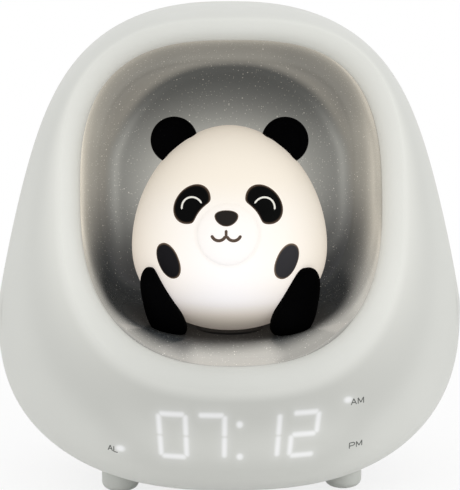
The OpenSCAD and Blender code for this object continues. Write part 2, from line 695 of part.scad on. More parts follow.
// Muzzle: a flat ellipsoid sunk into the front of the egg, square to its surface
half_depth = panda_depth * panda_w / 2;
muzzle_up = (muzzle_z - panda_mid_z) / panda_high;
muzzle_y = -half_depth * sqrt(1 - pow(muzzle_up, 2));
muzzle_tilt = atan(muzzle_up / panda_high * pow(half_depth, 2) / -muzzle_y);
module muzzle() translate([0, muzzle_y, muzzle_z]) rotate([-muzzle_tilt, 0, 0]) translate([0, muzzle_sink, 0])
    scale([muzzle_r, muzzle_t, muzzle_r]) sphere(r = 1, $fn = turn_fn);
module panda_body() color("ivory") panda_frame() difference() {
    union() {
        egg(0, panda_low);
        muzzle();
    }
    egg(-skin, panda_low - skin);
    translate([0, 0, panda_z - 5]) rod(collar_r + min_gap, skin + 8, turn_fn);
}

// Ear: a disc with a rounded edge that stands on the head
module ear(s) color("black") panda_frame() difference() {
    translate([s * ear_x, 0, ear_z]) rotate([90, 0, 0]) rotate_extrude($fn = turn_fn)
        polygon([[0, -ear_t / 2],
            for (t = [-70 : 20 : 70]) [ear_r - ear_edge + ear_edge * cos(t), ear_t / 2 * sin(t)],
            [0, ear_t / 2]]);
    egg(seat_gap, panda_low);
}
module panda_left_ear() ear(-1);
module panda_right_ear() ear(1);

// Leg: a round taper from the knee down to the blunt sole, laid on the flank
function flank_pt(t, h, out) = let(k = out * sqrt(1 - pow((h - panda_low) / panda_drop, 2)))
    [panda_w / 2 * k * cos(t), -panda_depth * panda_w / 2 * k * sin(t), panda_z + h];
knee = flank_pt(31.7, panda_low - 7.7, 0.981);
sole = flank_pt(40.4, panda_low - 21.8, 1.19);
function leg_profile(len) = let(t = asin((sole_r - knee_r) / len)) [
    for (k = [0 : 6]) let(q = -90 + (90 - t) * k / 6) [knee_r * cos(q), knee_r * sin(q)],
    for (k = [0 : 8]) let(q = 90 * k / 8) [sole_r * pow(cos(q), 0.8), len + sole_end * pow(sin(q), 0.8)]];
module leg(s) color("black") panda_frame() difference() {
    run = sole - knee;
    tilt = acos(run[2] / norm(run));
    turn = atan2(run[1], s * run[0]);
    translate([s * knee[0], knee[1], knee[2]]) rotate([0, tilt, turn])
        rotate_extrude($fn = fine_fn) polygon(leg_profile(norm(run)));
    egg(seat_gap, panda_low + seat_gap);
}
module panda_left_leg() leg(-1);
module panda_right_leg() leg(1);

front_housing();
rear_housing();
cavity_liner();
rear_panel();
panel_screws();
front_left_foot();
front_right_foot();
rear_left_foot();
rear_right_foot();
display_diffuser();
display_mask();
display_board();
display_leds();
display_screws();
indicator_pipes();
lamp_seat();
lamp_board();
lamp_leds();
lamp_screws();
panda_body();
panda_left_ear();
panda_right_ear();
panda_left_leg();
panda_right_leg();
chassis();
chassis_screws();
main_board();
board_screws();
controller_chip();
tact_switches();
slide_switch();
usb_socket();
cell_holder();
coin_cell();
speaker_frame();
speaker_magnet();
speaker_cone();
cell_cover();
lamp_key();
set_key();
alarm_key();
minus_key();
plus_key();
sound_key();
alarm_slider();
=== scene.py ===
"""Hooded bedside alarm clock with a glowing panda lamp: the visible surfaces, finishes, light and camera.

Shapes are worked out in millimetres: +X right, +Z up, front at -Y, with Y counted from the panda's axis. stack()
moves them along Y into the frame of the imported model, and they become metres only when a mesh is made.
"""
import math

import bpy
import numpy as np
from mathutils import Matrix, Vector


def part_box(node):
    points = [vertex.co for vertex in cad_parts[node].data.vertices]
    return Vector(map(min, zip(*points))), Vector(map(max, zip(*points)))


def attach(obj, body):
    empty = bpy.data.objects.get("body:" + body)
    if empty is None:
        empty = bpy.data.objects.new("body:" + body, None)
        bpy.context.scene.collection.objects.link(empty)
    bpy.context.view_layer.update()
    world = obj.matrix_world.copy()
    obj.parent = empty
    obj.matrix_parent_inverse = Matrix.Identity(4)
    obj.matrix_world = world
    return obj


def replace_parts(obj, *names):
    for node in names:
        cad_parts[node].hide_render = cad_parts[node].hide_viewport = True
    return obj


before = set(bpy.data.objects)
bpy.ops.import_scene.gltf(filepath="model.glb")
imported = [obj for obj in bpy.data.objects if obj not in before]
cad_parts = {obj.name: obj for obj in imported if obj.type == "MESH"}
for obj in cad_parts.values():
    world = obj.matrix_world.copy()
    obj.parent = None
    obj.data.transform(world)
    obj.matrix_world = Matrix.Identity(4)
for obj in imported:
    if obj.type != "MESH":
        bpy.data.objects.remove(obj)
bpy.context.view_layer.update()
CASE = "case"
MM = 0.001

# ---- sizes of the clock, in mm; _N is a superellipse's exponent, where 2 is round and more is squarer
BODY_W, BODY_TOP, WIDEST_Z, BELLY_Z = 146, 151.5, 57, 3.5
CROWN_N, BASE_N, FLANK = 2.4, 2.75, 0.07
FACE_MID_Y, FACE_LEAN, FACE_SAG, LEAN_Z = -42, 0.2, 38, 75
HOOD_N, CHIN_N = 2.1, 3.7
SEAM_MID_Y, SEAM_LEAN, SEAM_GAP = -3, 0.05, 0.15
WALL = 2.2
MOUTH_W, MOUTH_H, MOUTH_Z, MOUTH_N = 93.6, 96, 93, 2.7
LIP_W, LIP_DEPTH = 6.2, 6.5
LINER_WALL, LINER_GAP, CAVE_BACK_Y, CAVE_N, FLOOR_N = 1.6, 0.3, 30, 3.2, 9
FLOOR_LIFT = 3.4
PANEL_R, PANEL_Z, PANEL_Y, REAR_N = 47, 70, 50, 2.3
LEDGE_Y, LEDGE_R, LEDGE_T = 48, 43.5, 2
PANDA_W, PANDA_MID_Z, PANDA_LOW, PANDA_HIGH, PANDA_DEPTH = 61.6, 75, 26.8, 38, 0.82
HEAD_N, BOTTOM_N = 1.92, 2.1
PANDA_TURN = 4
DIGITS_Z = 25.5
# Outside of the rear panel, and the way from these coordinates to the frame's
PANEL_BACK = 50.05
SHIFT_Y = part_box("rear_panel")[1].y / MM - PANEL_BACK


# ---- small tools
def mix(a, b, t):
    """Straight blend from a at t = 0 to b at t = 1."""
    return a + (b - a) * t


def spow(v, p):
    """Power that keeps the sign of its base."""
    return np.sign(v) * np.abs(v) ** p


def smooth(low, high, v):
    """Eased step: 0 below low, 1 above high, with level ends."""
    t = np.clip((v - low) / (high - low), 0, 1)
    return t * t * (3 - 2 * t)


def squared_circle(angle, n):
    """Point on the superellipse |x|^n + |y|^n = 1 at a polar angle: (cos, sin) over the n-norm of (cos, sin)."""
    c, s = np.cos(angle), np.sin(angle)
    r = (np.abs(c) ** n + np.abs(s) ** n) ** (-1 / n)
    return c * r, s * r


def stack(x, y, z):
    """Three arrays as points, with the frame's shift along Y."""
    return np.stack(np.broadcast_arrays(x, y + SHIFT_Y, z), -1)


def link(name, data):
    """Object for a mesh, a light or a camera, put in the scene."""
    thing = bpy.data.objects.new(name, data)
    bpy.context.scene.collection.objects.link(thing)
    return thing


def grid_quads(rows, cols):
    """Corners of the quads of a grid whose rows are closed round and whose last row joins the first."""
    index = np.arange(rows * cols).reshape(rows, cols)
    right = np.roll(index, -1, 1)
    return np.stack([index, np.roll(index, -1, 0), np.roll(right, -1, 0), right], -1)


def closed_grid(grid, ends):
    """Points, quads and triangles of a grid of points (rows, columns, 3) whose rows are closed round.

    The last row joins the first, unless ends gives two points: then a fan closes the first row and the last. The
    faces are turned outwards: their corners are in the order that makes the enclosed volume positive.
    """
    rows, cols = grid.shape[:2]
    quads, fans = grid_quads(rows, cols), np.zeros((0, 3), int)
    if ends:
        tip = np.full(cols, rows * cols)
        (first, after), (last, beyond) = (quads[row, :, [0, 3]] for row in (0, -1))
        fans = np.concatenate([np.stack([tip, first, after], -1), np.stack([beyond, last, tip + 1], -1)])
        quads = quads[:-1]
    quads = quads.reshape(-1, 4)
    points = np.concatenate([grid.reshape(-1, 3), np.reshape(ends, (-1, 3))])
    p = points[quads]
    halves = (np.cross(p[:, k] - p[:, 0], p[:, k + 1] - p[:, 0]) for k in (1, 2))
    if sum((half * p[:, 0]).sum() for half in halves) < 0:
        quads, fans = quads[:, ::-1], fans[:, ::-1]
    return points, quads, fans


def surface(name, grid, material, ends=(), marks=None):
    """Piece of the case from a closed grid in mm, with its colour slot or None.

    marks maps attribute names to one number per grid point; the tips of the ends take those of their rows.
    """
    points, quads, fans = closed_grid(grid, ends)
    corners = np.concatenate([quads.ravel(), fans.ravel()])
    starts = np.concatenate([np.arange(len(quads)) * 4, quads.size + np.arange(len(fans)) * 3])
    mesh = bpy.data.meshes.new(name)
    mesh.vertices.add(len(points))
    mesh.vertices.foreach_set("co", (points * MM).astype(np.float32).ravel())
    mesh.loops.add(len(corners))
    mesh.loops.foreach_set("vertex_index", corners.astype(np.int32))
    mesh.polygons.add(len(starts))
    mesh.polygons.foreach_set("loop_start", starts.astype(np.int32))
    mesh.update(calc_edges=True)
    mesh.validate()
    mesh.shade_smooth()
    for mark, values in (marks or {}).items():
        values = np.concatenate([values.ravel(), values[[0, -1][:len(ends)], 0]])
        mesh.attributes.new(mark, "FLOAT", "POINT").data.foreach_set("value", values.astype(np.float32))
    mesh.materials.append(material)
    piece = link(name, mesh)
    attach(piece, CASE)
    return piece


class Nodes:
    """A node tree: put() adds a node, feeds its inputs, and gives back its chosen output."""

    def __init__(self, tree):
        self.tree = tree

    def put(self, kind, inputs=None, out=0, **settings):
        node = self.tree.nodes.new(kind)
        for key, value in settings.items():
            setattr(node, key, value)
        for key, value in (inputs or {}).items():
            self.feed(node.inputs[key], value)
        return node.outputs[out]

    def feed(self, socket, value):
        """Wires an output to an input, or sets the input to a value."""
        if isinstance(value, bpy.types.NodeSocket):
            self.tree.links.new(value, socket)
        else:
            socket.default_value = (*value, 1) if isinstance(value, tuple) and len(value) == 3 else value

    def ramp(self, value, low, high, to_low=0.0, to_high=1.0):
        return self.put("ShaderNodeMapRange", {"Value": value, "From Min": low, "From Max": high,
                                               "To Min": to_low, "To Max": to_high})

    def math(self, operation, a, b, c=0.0):
        return self.put("ShaderNodeMath", {0: a, 1: b, 2: c}, operation=operation)

    def background_seen(self):
        """1 on rays that show the background: straight ones, and ones off metal or through glass."""
        path = self.tree.nodes.new("ShaderNodeLightPath").outputs
        return self.math("MAXIMUM", path["Is Camera Ray"],
                         self.math("MAXIMUM", path["Is Glossy Ray"], path["Is Transmission Ray"]))


class Finish(Nodes):
    """A named material; set() feeds the inputs of its shader, whose names have _ for a space."""

    def __init__(self, name):
        self.material = bpy.data.materials.new(name)
        self.material.use_nodes = True
        super().__init__(self.material.node_tree)
        self.shader = self.tree.nodes["Principled BSDF"]

    def set(self, **inputs):
        for key, value in inputs.items():
            self.feed(self.shader.inputs[key.replace("_", " ")], value)

    def place(self):
        return self.put("ShaderNodeTexCoord", out="Object")

    def mark(self, name):
        return self.put("ShaderNodeAttribute", out="Fac", attribute_name=name)

    def noise(self, scale, detail=2.0, roughness=0.5):
        return self.put("ShaderNodeTexNoise", {"Vector": self.place(), "Scale": scale, "Detail": detail,
                                               "Roughness": roughness})

    def cloud(self, scale, to_low=0.0, to_high=1.0, detail=2.0):
        """Noise with its middle spread over a range."""
        return self.ramp(self.noise(scale, detail), 0.3, 0.7, to_low, to_high)

    def blend(self, share, first, second):
        """First colour at share 0, second at 1; the mix node's colours are its inputs 6 and 7 and its output 2."""
        return self.put("ShaderNodeMix", {0: share, 6: first, 7: second}, out=2, data_type="RGBA")

    def lit(self, mark, colour):
        """Light of a colour, as strong as a mark."""
        return self.blend(self.mark(mark), (0, 0, 0), colour)

    def add(self, first, second):
        return self.put("ShaderNodeVectorMath", {0: first, 1: second}, operation="ADD")

    def relief(self, height, depth):
        """Bumps of a depth in metres; gives back the finished material."""
        self.set(Normal=self.put("ShaderNodeBump", {"Height": height, "Distance": depth, "Strength": 1.0}))
        return self.material


def tone(code):
    """Linear colour from a six-digit sRGB code."""
    v = np.array([int(code[i:i + 2], 16) for i in (0, 2, 4)]) / 255
    return tuple(float(c) for c in np.where(v <= 0.04045, v / 12.92, ((v + 0.055) / 1.055) ** 2.4))


# ---- finishes
def moulded(name, code, rough, grain=1800.0, depth=0.00002, drift=0.03, level=0.4):
    """Moulded plastic: a flat colour that drifts a little over the part, and a fine spark-eroded grain."""
    f = Finish(name)
    dark, pale = (tuple(min(1, c * share) for c in tone(code)) for share in (1 - drift, 1 + drift))
    f.set(Base_Color=f.blend(f.ramp(f.noise(22.0, 3.0), 0.35, 0.65), dark, pale), Specular_IOR_Level=level,
          Roughness=f.cloud(140.0, rough - 0.04, rough + 0.05))
    return f.relief(f.noise(grain, 3.0, 0.6), depth)


def lit_shell():
    """The housing's satin plastic, thin enough to let light through.

    The mark 'glow' adds the display's light in the chin, 'through' the lamp's light through the lip with a painted
    highlight on its crest, and 'veil' darkens the plastic with painted shade beside the lower lip and round the chin.
    """
    f = Finish("satin_shell")
    base = f.blend(f.ramp(f.noise(16.0, 3.0), 0.35, 0.65), tone("D2D3CE"), tone("D6D7D2"))
    # Painted shade: 'veil' blends the base towards the darker C0C1BC; 'through' is partly a painted highlight on the
    # crest
    f.set(Base_Color=f.blend(f.mark("painted_shade"), base, tone("C0C1BC")), Roughness=f.cloud(120.0, 0.42, 0.5),
          Emission_Color=f.add(f.lit("glow", (0.27, 0.268, 0.3)), f.lit("through", (1.0, 0.98, 0.9))),
          Emission_Strength=1.0, Specular_IOR_Level=0.35)
    return f.relief(f.noise(2200.0, 3.0, 0.6), 0.000012)


# Flecks of the liner: cells per metre, then the smallest radius of a fleck and what is added to it, in cells
FLECKS = ((1500.0, 0.06, 0.16), (700.0, 0.04, 0.13))


def starry_liner():
    """Smoked glossy plastic with pale flecks, and the light of the lamp it wraps painted on.

    Two sizes of cells give the flecks, each a small ball round its cell's point. The marks paint light and shade:
    'shade' lightens the upper half and leaves the lower half in painted shade, 'contact' darkens the floor next to
    the panda with a painted shadow, 'rim' is the lamp's warm light painted near the front edge, 'halo' its light on
    the walls and 'bell' its whiter light on the back.
    """
    f = Finish("starry_liner")
    cloud, high = f.cloud(30.0), f.mark("shade")
    # Painted shade: the lower half takes the darker greys, and 'contact' a near black as a painted shadow
    low, upper = f.blend(cloud, tone("34383B"), tone("3B3F42")), f.blend(cloud, tone("484C4F"), tone("4F5456"))
    base = f.blend(f.mark("contact"), f.blend(high, low, upper), tone("0C0D0E"))
    # Painted light: the lamp's light on the liner, as emission
    light = f.add(f.lit("rim", f.blend(high, (1.0, 0.96, 0.87), (1.0, 0.91, 0.76))),
                  f.add(f.lit("halo", (1.0, 0.92, 0.77)), f.lit("bell", (1.0, 0.98, 0.89))))
    gain = 1.0
    for scale, least, span in FLECKS:
        cells = f.put("ShaderNodeTexVoronoi", {"Vector": f.place(), "Scale": scale}).node.outputs
        pick = f.put("ShaderNodeSeparateColor", {"Color": cells["Color"]})
        reach = f.math("ADD", f.math("MULTIPLY", f.math("POWER", pick, 1.6), span), least)
        dot = f.ramp(f.math("SUBTRACT", reach, cells["Distance"]), 0.0, 0.05)
        base = f.blend(dot, base, tone("B4B2AC"))
        gain = f.math("ADD", gain, f.math("MULTIPLY", dot, 0.5))
    f.set(Base_Color=base, Emission_Strength=1.0, Specular_IOR_Level=0.35,
          Roughness=f.math("MULTIPLY_ADD", f.mark("contact"), 0.5, f.cloud(60.0, 0.12, 0.18)),
          Emission_Color=f.put("ShaderNodeVectorMath", {0: light, "Scale": gain}, operation="SCALE"))
    return f.relief(f.noise(500.0), 0.000008)


def lamp_skin():
    """Soft white silicone lit from inside: the mark 'lit' is how much light comes through, 'core' how white it is."""
    f = Finish("lamp_skin")
    light = f.lit("lit", f.blend(f.mark("core"), (1.0, 0.86, 0.74), (1.0, 1.02, 1.2)))
    f.set(Base_Color=tone("DED8CB"), Roughness=f.cloud(90.0, 0.52, 0.6), Emission_Color=light, Emission_Strength=1.0,
          Specular_IOR_Level=0.25)
    return f.relief(f.noise(1500.0), 0.00001)


def black_silicone():
    """Matt black silicone with a faint dusty sheen."""
    f = Finish("black_silicone")
    f.set(Base_Color=f.blend(f.cloud(60.0, detail=3.0), (0.0003, 0.0003, 0.0004), (0.0012, 0.0012, 0.0015)),
          Roughness=0.68, Specular_IOR_Level=0.01)
    return f.relief(f.noise(1300.0, 3.0), 0.000015)


def print_ink(name, code, edge_code):
    """Printed ink: the mark 'edge' paints the lamp's light, as a tint, into the thin rim of the print."""
    f = Finish(name)
    f.set(Base_Color=f.blend(f.mark("edge"), tone(code), tone(edge_code)), Roughness=f.cloud(200.0, 0.5, 0.6),
          Specular_IOR_Level=0.05)
    return f.relief(f.noise(2400.0), 0.000006)


def metal(name, code, rough):
    """Plated metal with fine cloudy wear in its roughness."""
    f = Finish(name)
    f.set(Base_Color=tone(code), Metallic=1.0, Roughness=f.cloud(700.0, rough - 0.07, rough + 0.08, 3.0))
    return f.relief(f.noise(2600.0), 0.00001)


def circuit_board(name, mask, track):
    """Solder mask with a faint pattern of tracks: a square grid of cells, some of them raised."""
    f = Finish(name)
    cells = f.put("ShaderNodeTexVoronoi", {"Vector": f.place(), "Scale": 330.0, "Randomness": 0.35}, out="Color",
                  distance="CHEBYCHEV")
    pick = f.ramp(f.put("ShaderNodeSeparateColor", {"Color": cells}), 0.62, 0.66)
    f.set(Base_Color=f.blend(pick, tone(mask), tone(track)), Roughness=0.38)
    return f.relief(pick, 0.00003)


def clear_rod():
    """Clear polycarbonate."""
    f = Finish("clear_rod")
    f.set(Base_Color=tone("F2F4F6"), Roughness=f.cloud(300.0, 0.08, 0.14), Transmission_Weight=0.9, IOR=1.58)
    return f.material


SEAT = moulded("seat_plastic", "101113", rough=0.5, level=0.1)
FOOT = moulded("foot_rubber", "D2D4CF", rough=0.55, grain=900.0, level=0.25)
SHELL = lit_shell()
LINER = starry_liner()
SKIN = lamp_skin()
BLACK = black_silicone()
INK = print_ink("black_print", "030303", "57483C")
PAW_INK = print_ink("paw_print", "1A191C", "6B5B4C")
# Painted light: a lighter copy of the paw print for the right paw
LIT_PAW_INK = print_ink("lit_paw_print", "353437", "7A6A5A")
NOSE_INK = print_ink("nose_print", "262321", "6B5B4C")
MOUTH_INK = print_ink("mouth_print", "5C4D42", "7A675C")
EYE_INK = print_ink("eye_line_print", "F4F1E8", "F4F1E8")
LABEL_INK = print_ink("label_print", "6A6C69", "6A6C69")


# ---- housing
def outline(turn, inset):
    """Outline of the housing at the seam, as x and z.

    A superellipse, squarer below its widest level than above it, whose upper flanks are drawn in by a sine of the
    height: x = (half width - inset) * px * (1 - flank * sin(pi * pz)), z = widest level + (rise - inset) * pz.
    """
    up = np.sin(turn) >= 0
    px, pz = squared_circle(turn, np.where(up, CROWN_N, BASE_N))
    pinch = np.where(up, 1 - FLANK * np.sin(np.pi * np.clip(pz, 0, 1)), 1)
    rise = np.where(up, BODY_TOP - WIDEST_Z, WIDEST_Z - BELLY_Z)
    return (BODY_W / 2 - inset) * px * pinch, WIDEST_Z + (rise - inset) * pz


def station(turn):
    """The outline's own parameter at a polar angle: cosine and sine are the outline's shares to the power n / 2."""
    n = np.where(np.sin(turn) >= 0, CROWN_N, BASE_N)
    px, pz = squared_circle(turn, n)
    return np.arctan2(spow(pz, n / 2), spow(px, n / 2))


def mouth(u, grow, n=MOUTH_N):
    """Mouth of the cave let out by grow: a superellipse, as x and z."""
    return (MOUTH_W / 2 + grow) * spow(np.cos(u), 2 / n), MOUTH_Z + (MOUTH_H / 2 + grow) * spow(np.sin(u), 2 / n)


def low_share(u):
    """1 at the chin and 0 at the crown: the square of half of one minus the sine."""
    return ((1 - np.sin(u)) / 2) ** 2


def seam(z):
    """Y of the seam between the halves at height z."""
    return SEAM_MID_Y + SEAM_LEAN * (z - LEAN_Z)


def face(x, z):
    """Face that leans back with height and falls back with the square of x."""
    return FACE_MID_Y + FACE_LEAN * (z - LEAN_Z) + FACE_SAG * (2 * x / BODY_W) ** 2


def front_skin(turn, rise, inset=0.0):
    """Front half from the seam (rise 0) to the crest of the lip (rise a right angle).

    Each section is a quarter superellipse, rounder at the crown and squarer at the chin: its first share runs from
    the lip's crest out to the outline, and its second from the seam forward to the face.
    """
    u = station(turn)
    ox, oz = outline(turn, inset)
    lx, lz = mouth(u, LIP_W)
    out, ahead = squared_circle(rise, mix(HOOD_N, CHIN_N, low_share(u)))
    x, z = mix(lx, ox, out), mix(lz, oz, out)
    start = seam(oz)
    return stack(x, start + np.minimum(face(x, z) + inset - start, 0) * ahead, z)


def lip_skin(turn, roll, inset=0.0):
    """Rolled lip from its crest (roll 0) to the edge of the mouth: a quarter ellipse."""
    u = station(turn)
    lx, lz = mouth(u, LIP_W)
    cx, cz = mouth(u, inset)
    s = np.sin(roll)
    return stack(mix(lx, cx, s), face(lx, lz) + inset + (LIP_DEPTH - inset) * (1 - np.cos(roll)), mix(lz, cz, s))


def rear_skin(turn, rise, inset=0.0):
    """Rear half from the seam (rise 0) to the rim round the panel: quarter superellipses, as in the front half."""
    u = station(turn)
    ox, oz = outline(turn, inset)
    out, back = squared_circle(rise, REAR_N)
    return stack(mix(PANEL_R * np.cos(u), ox, out), mix(seam(oz) + SEAM_GAP, PANEL_Y - inset, back),
                 mix(PANEL_Z + PANEL_R * np.sin(u), oz, out))


def seam_line(turn, inset, ahead):
    """Outline at the seam, drawn in by inset and moved forwards by ahead."""
    ox, oz = outline(turn, inset)
    return stack(ox, seam(oz) - ahead, oz)


def rear_circle(turn, radius, y):
    """Circle round the middle of the rear panel."""
    u = station(turn)
    return stack(radius * np.cos(u), y + 0 * u, PANEL_Z + radius * np.sin(u))


def spread(*parts):
    """Joined evenly spaced runs of angles in radians; each part is (start, end, how many), in degrees."""
    return np.radians(np.concatenate([np.linspace(a, b, n, endpoint=False) for a, b, n in parts]))


# Seven segments as shares of the digit's half width and half height: x, z of both ends
SEGMENTS = {"a": ((-1, 1), (1, 1)), "b": ((1, 1), (1, 0)), "c": ((1, 0), (1, -1)), "d": ((-1, -1), (1, -1)),
            "e": ((-1, 0), (-1, -1)), "f": ((-1, 1), (-1, 0)), "g": ((-1, 0), (1, 0))}
# Middle and lit segments of the four digits
LIT = ((-19.4, "abcdef"), (-8.0, "abc"), (8.1, "bc"), (19.7, "abged"))
HALF_W, HALF_H, STROKE = 3.85, 6.3, 0.62
# Round lights as x, z and radius: both dots of the colon, the alarm's and the morning's
DOTS = ((0.35, 29.15, 0.95), (0.35, 19.5, 0.95), (-35.05, 20.06, 0.95), (33.57, 34.2, 0.9))


def display_light(x, z):
    """How brightly the display shines through at x, z on the chin, from 0 to 1.

    The distance to the nearest lit stroke is turned into a soft-edged bar with a faint halo; the dots are the same
    with a point for a stroke, and the two outer ones are a little wider than high. The digits lean outwards and
    slightly to the right.
    """
    drop = z - DIGITS_Z
    flat = x - drop * (0.035 + 0.0045 * x)
    near = np.full(x.shape, 99.0)
    for centre, lit in LIT:
        for name in lit:
            (ax, az), (bx, bz) = SEGMENTS[name]
            a = np.array([centre + ax * HALF_W, az * HALF_H])
            b = np.array([centre + bx * HALF_W, bz * HALF_H])
            run = b - a
            long = np.linalg.norm(run)
            run = run / long
            gap = (0.5 if ax == bx else 0.62) + STROKE * 0.5
            t = np.clip((flat - a[0]) * run[0] + (drop - a[1]) * run[1], gap, long - gap)
            near = np.minimum(near, np.hypot(flat - a[0] - run[0] * t, drop - a[1] - run[1] * t))
    bars = 1 - smooth(STROKE - 0.55, STROKE + 0.9, near)
    halo = 0.26 * np.exp(-np.maximum(near - STROKE, 0) / 1.1)
    total = np.maximum(bars, halo)
    for px, pz, r in DOTS:
        away = np.hypot((x - px) * (0.72 if abs(px) > 30 else 1), z - pz)
        dot = 1 - smooth(r - 0.6, r + 0.7, away)
        total = np.maximum(total, np.maximum(dot, 0.2 * np.exp(-np.maximum(away - r, 0) / 0.8)))
    return total


# Rows of points across the lip, and how deep the groove at the seam is on the first rows beside it
LIP_ROWS = 21
SEAM_GROOVE = np.array([0.32, 0.12, 0.03, 0.0])[:, None]


def lip_light(turn, rise, rows):
    """Marks of the lip: the lamp's light through it with a painted highlight on its crest, and the veil, painted
    shade beside it.

    The light, partly the lamp's light through the lip and partly a painted highlight, is full on the crest, fades
    inwards, more so on the left, and falls off outwards as a bell of the share of the way to the outline. It comes
    from both sides, one minus the square of the sine of the angle round the mouth, and a little from the crown. The
    veil is painted shade between the lip and the chin's flat part, and as a weaker band round the bottom of the chin.
    """
    u = station(turn)
    low = low_share(u)
    out = squared_circle(rise, mix(HOOD_N, CHIN_N, low))[0]
    # Painted highlight on the lip, partly the lamp's light through it: from both sides and a little from the crown
    sides, crown = 0.133 * (1 - np.sin(u) ** 2), 0.075 * np.clip(np.sin(u), 0, 1) ** 3
    inward = np.linspace(0, 1, LIP_ROWS)[:, None]
    inner = sides * (1 - (0.4 - 0.35 * np.cos(u)) * inward) + crown * (1 - smooth(0.1, 0.7, inward))
    through, painted_shade = np.zeros((2, rows, turn.shape[1]))
    through[: len(rise) + LIP_ROWS] = np.concatenate([(sides + crown) * np.exp(-((out / 0.25) ** 2)), inner])
    # Painted shade beside the lower lip, and a weaker band round the bottom of the chin
    band = np.exp(-(((out - mix(0.46, 0.66, smooth(-0.8, -1, np.sin(u)))) / 0.17) ** 2))
    painted_shade[: len(rise)] = (1.08 * smooth(0, 0.12, out) * (1 - smooth(0.15, 0.6, out)) + 0.55 * band) * low
    return {"through": through, "painted_shade": painted_shade}


def front_housing():
    """Front half as one closed skin: outside, lip, inside of the lip, inside, and the edge at the seam.

    Its rows and columns lie closest together over the chin, where the display's marks need them.
    """
    turn = spread((-57, -47, 30), (-47, 227, 150), (227, 237, 30), (237, 303, 270))[None, :]
    edge = np.radians(np.array([0, 0.5, 1.1, 1.8]))[:, None]
    rise = spread((2.8, 54, 26), (54, 88, 110), (88, 90, 3))[:, None]
    outside = np.concatenate([front_skin(turn, edge, SEAM_GROOVE), front_skin(turn, rise)])
    rise = np.concatenate([edge, rise])
    lip = lip_skin(turn, np.radians(np.linspace(0, 90, LIP_ROWS))[:, None])
    back = [lip_skin(turn, spread((90, 10, 4))[:, None], WALL), front_skin(turn, spread((90, 8, 9))[:, None], WALL)]
    tongue = [seam_line(turn, WALL, 2.75), seam_line(turn, WALL / 2, 2.75), seam_line(turn, WALL / 2, 0)]
    grid = np.concatenate([outside, lip, *back, *tongue])
    on_chin = (grid[..., 2] < 42) * (grid[..., 1] < -30)
    on_chin[len(outside) + len(lip):] = False
    marks = {"glow": display_light(grid[..., 0], grid[..., 2]) * on_chin, **lip_light(turn, rise, len(grid))}
    return surface("housing_front_shell", grid, SHELL, marks=marks)


def rear_housing():
    """Rear half as one closed skin: outside, the rim and ledge of the panel, and the inside."""
    turn = spread((0, 360, 300))[None, :]
    edge = np.radians(np.array([0, 0.6, 1.3, 2.2]))[:, None]
    outside = [rear_skin(turn, edge, SEAM_GROOVE), rear_skin(turn, spread((3.5, 89.5, 110))[:, None])]
    rim = [rear_circle(turn, PANEL_R + 0.12, PANEL_Y), rear_circle(turn, PANEL_R, PANEL_Y - 0.15),
           rear_circle(turn, PANEL_R, LEDGE_Y), rear_circle(turn, LEDGE_R, LEDGE_Y),
           rear_circle(turn, LEDGE_R, LEDGE_Y - LEDGE_T), rear_circle(turn, PANEL_R - 0.15, LEDGE_Y - LEDGE_T)]
    inside = [rear_skin(turn, spread((88, 6, 16))[:, None], WALL), seam_line(turn, WALL, 2.6),
              seam_line(turn, WALL / 2 + 0.15, 2.6), seam_line(turn, WALL / 2 + 0.15, -0.15)]
    return surface("housing_rear_shell", np.concatenate([*outside, *rim, *inside]), SHELL)


def cave_skin(turn, depth, grow):
    """Liner from its edge behind the lip (depth 0) to the middle of its back: quarter superellipses.

    The mouth's squareness fades with the depth in the upper half. Behind its front edge the floor of the inner skin
    (grow 0) slopes up by an eased step to the level that the panda sits on.
    """
    u = station(turn)
    cx, cz = mouth(u, grow, MOUTH_N - 0.5 * smooth(0.3, 0.9, depth) * smooth(0, 0.35, np.sin(u)))
    lx, lz = mouth(u, LIP_W)
    out, back = squared_circle(depth, mix(CAVE_N, FLOOR_N, low_share(u)))
    start = face(lx, lz) + LIP_DEPTH + LINER_GAP
    y, z = mix(start, CAVE_BACK_Y + grow, back), mix(MOUTH_Z, cz, out)
    z = z + FLOOR_LIFT * smooth(-42, -20, y) * (1 - smooth(46, 60, z)) * (grow == 0)
    return stack(cx * out, y, z)


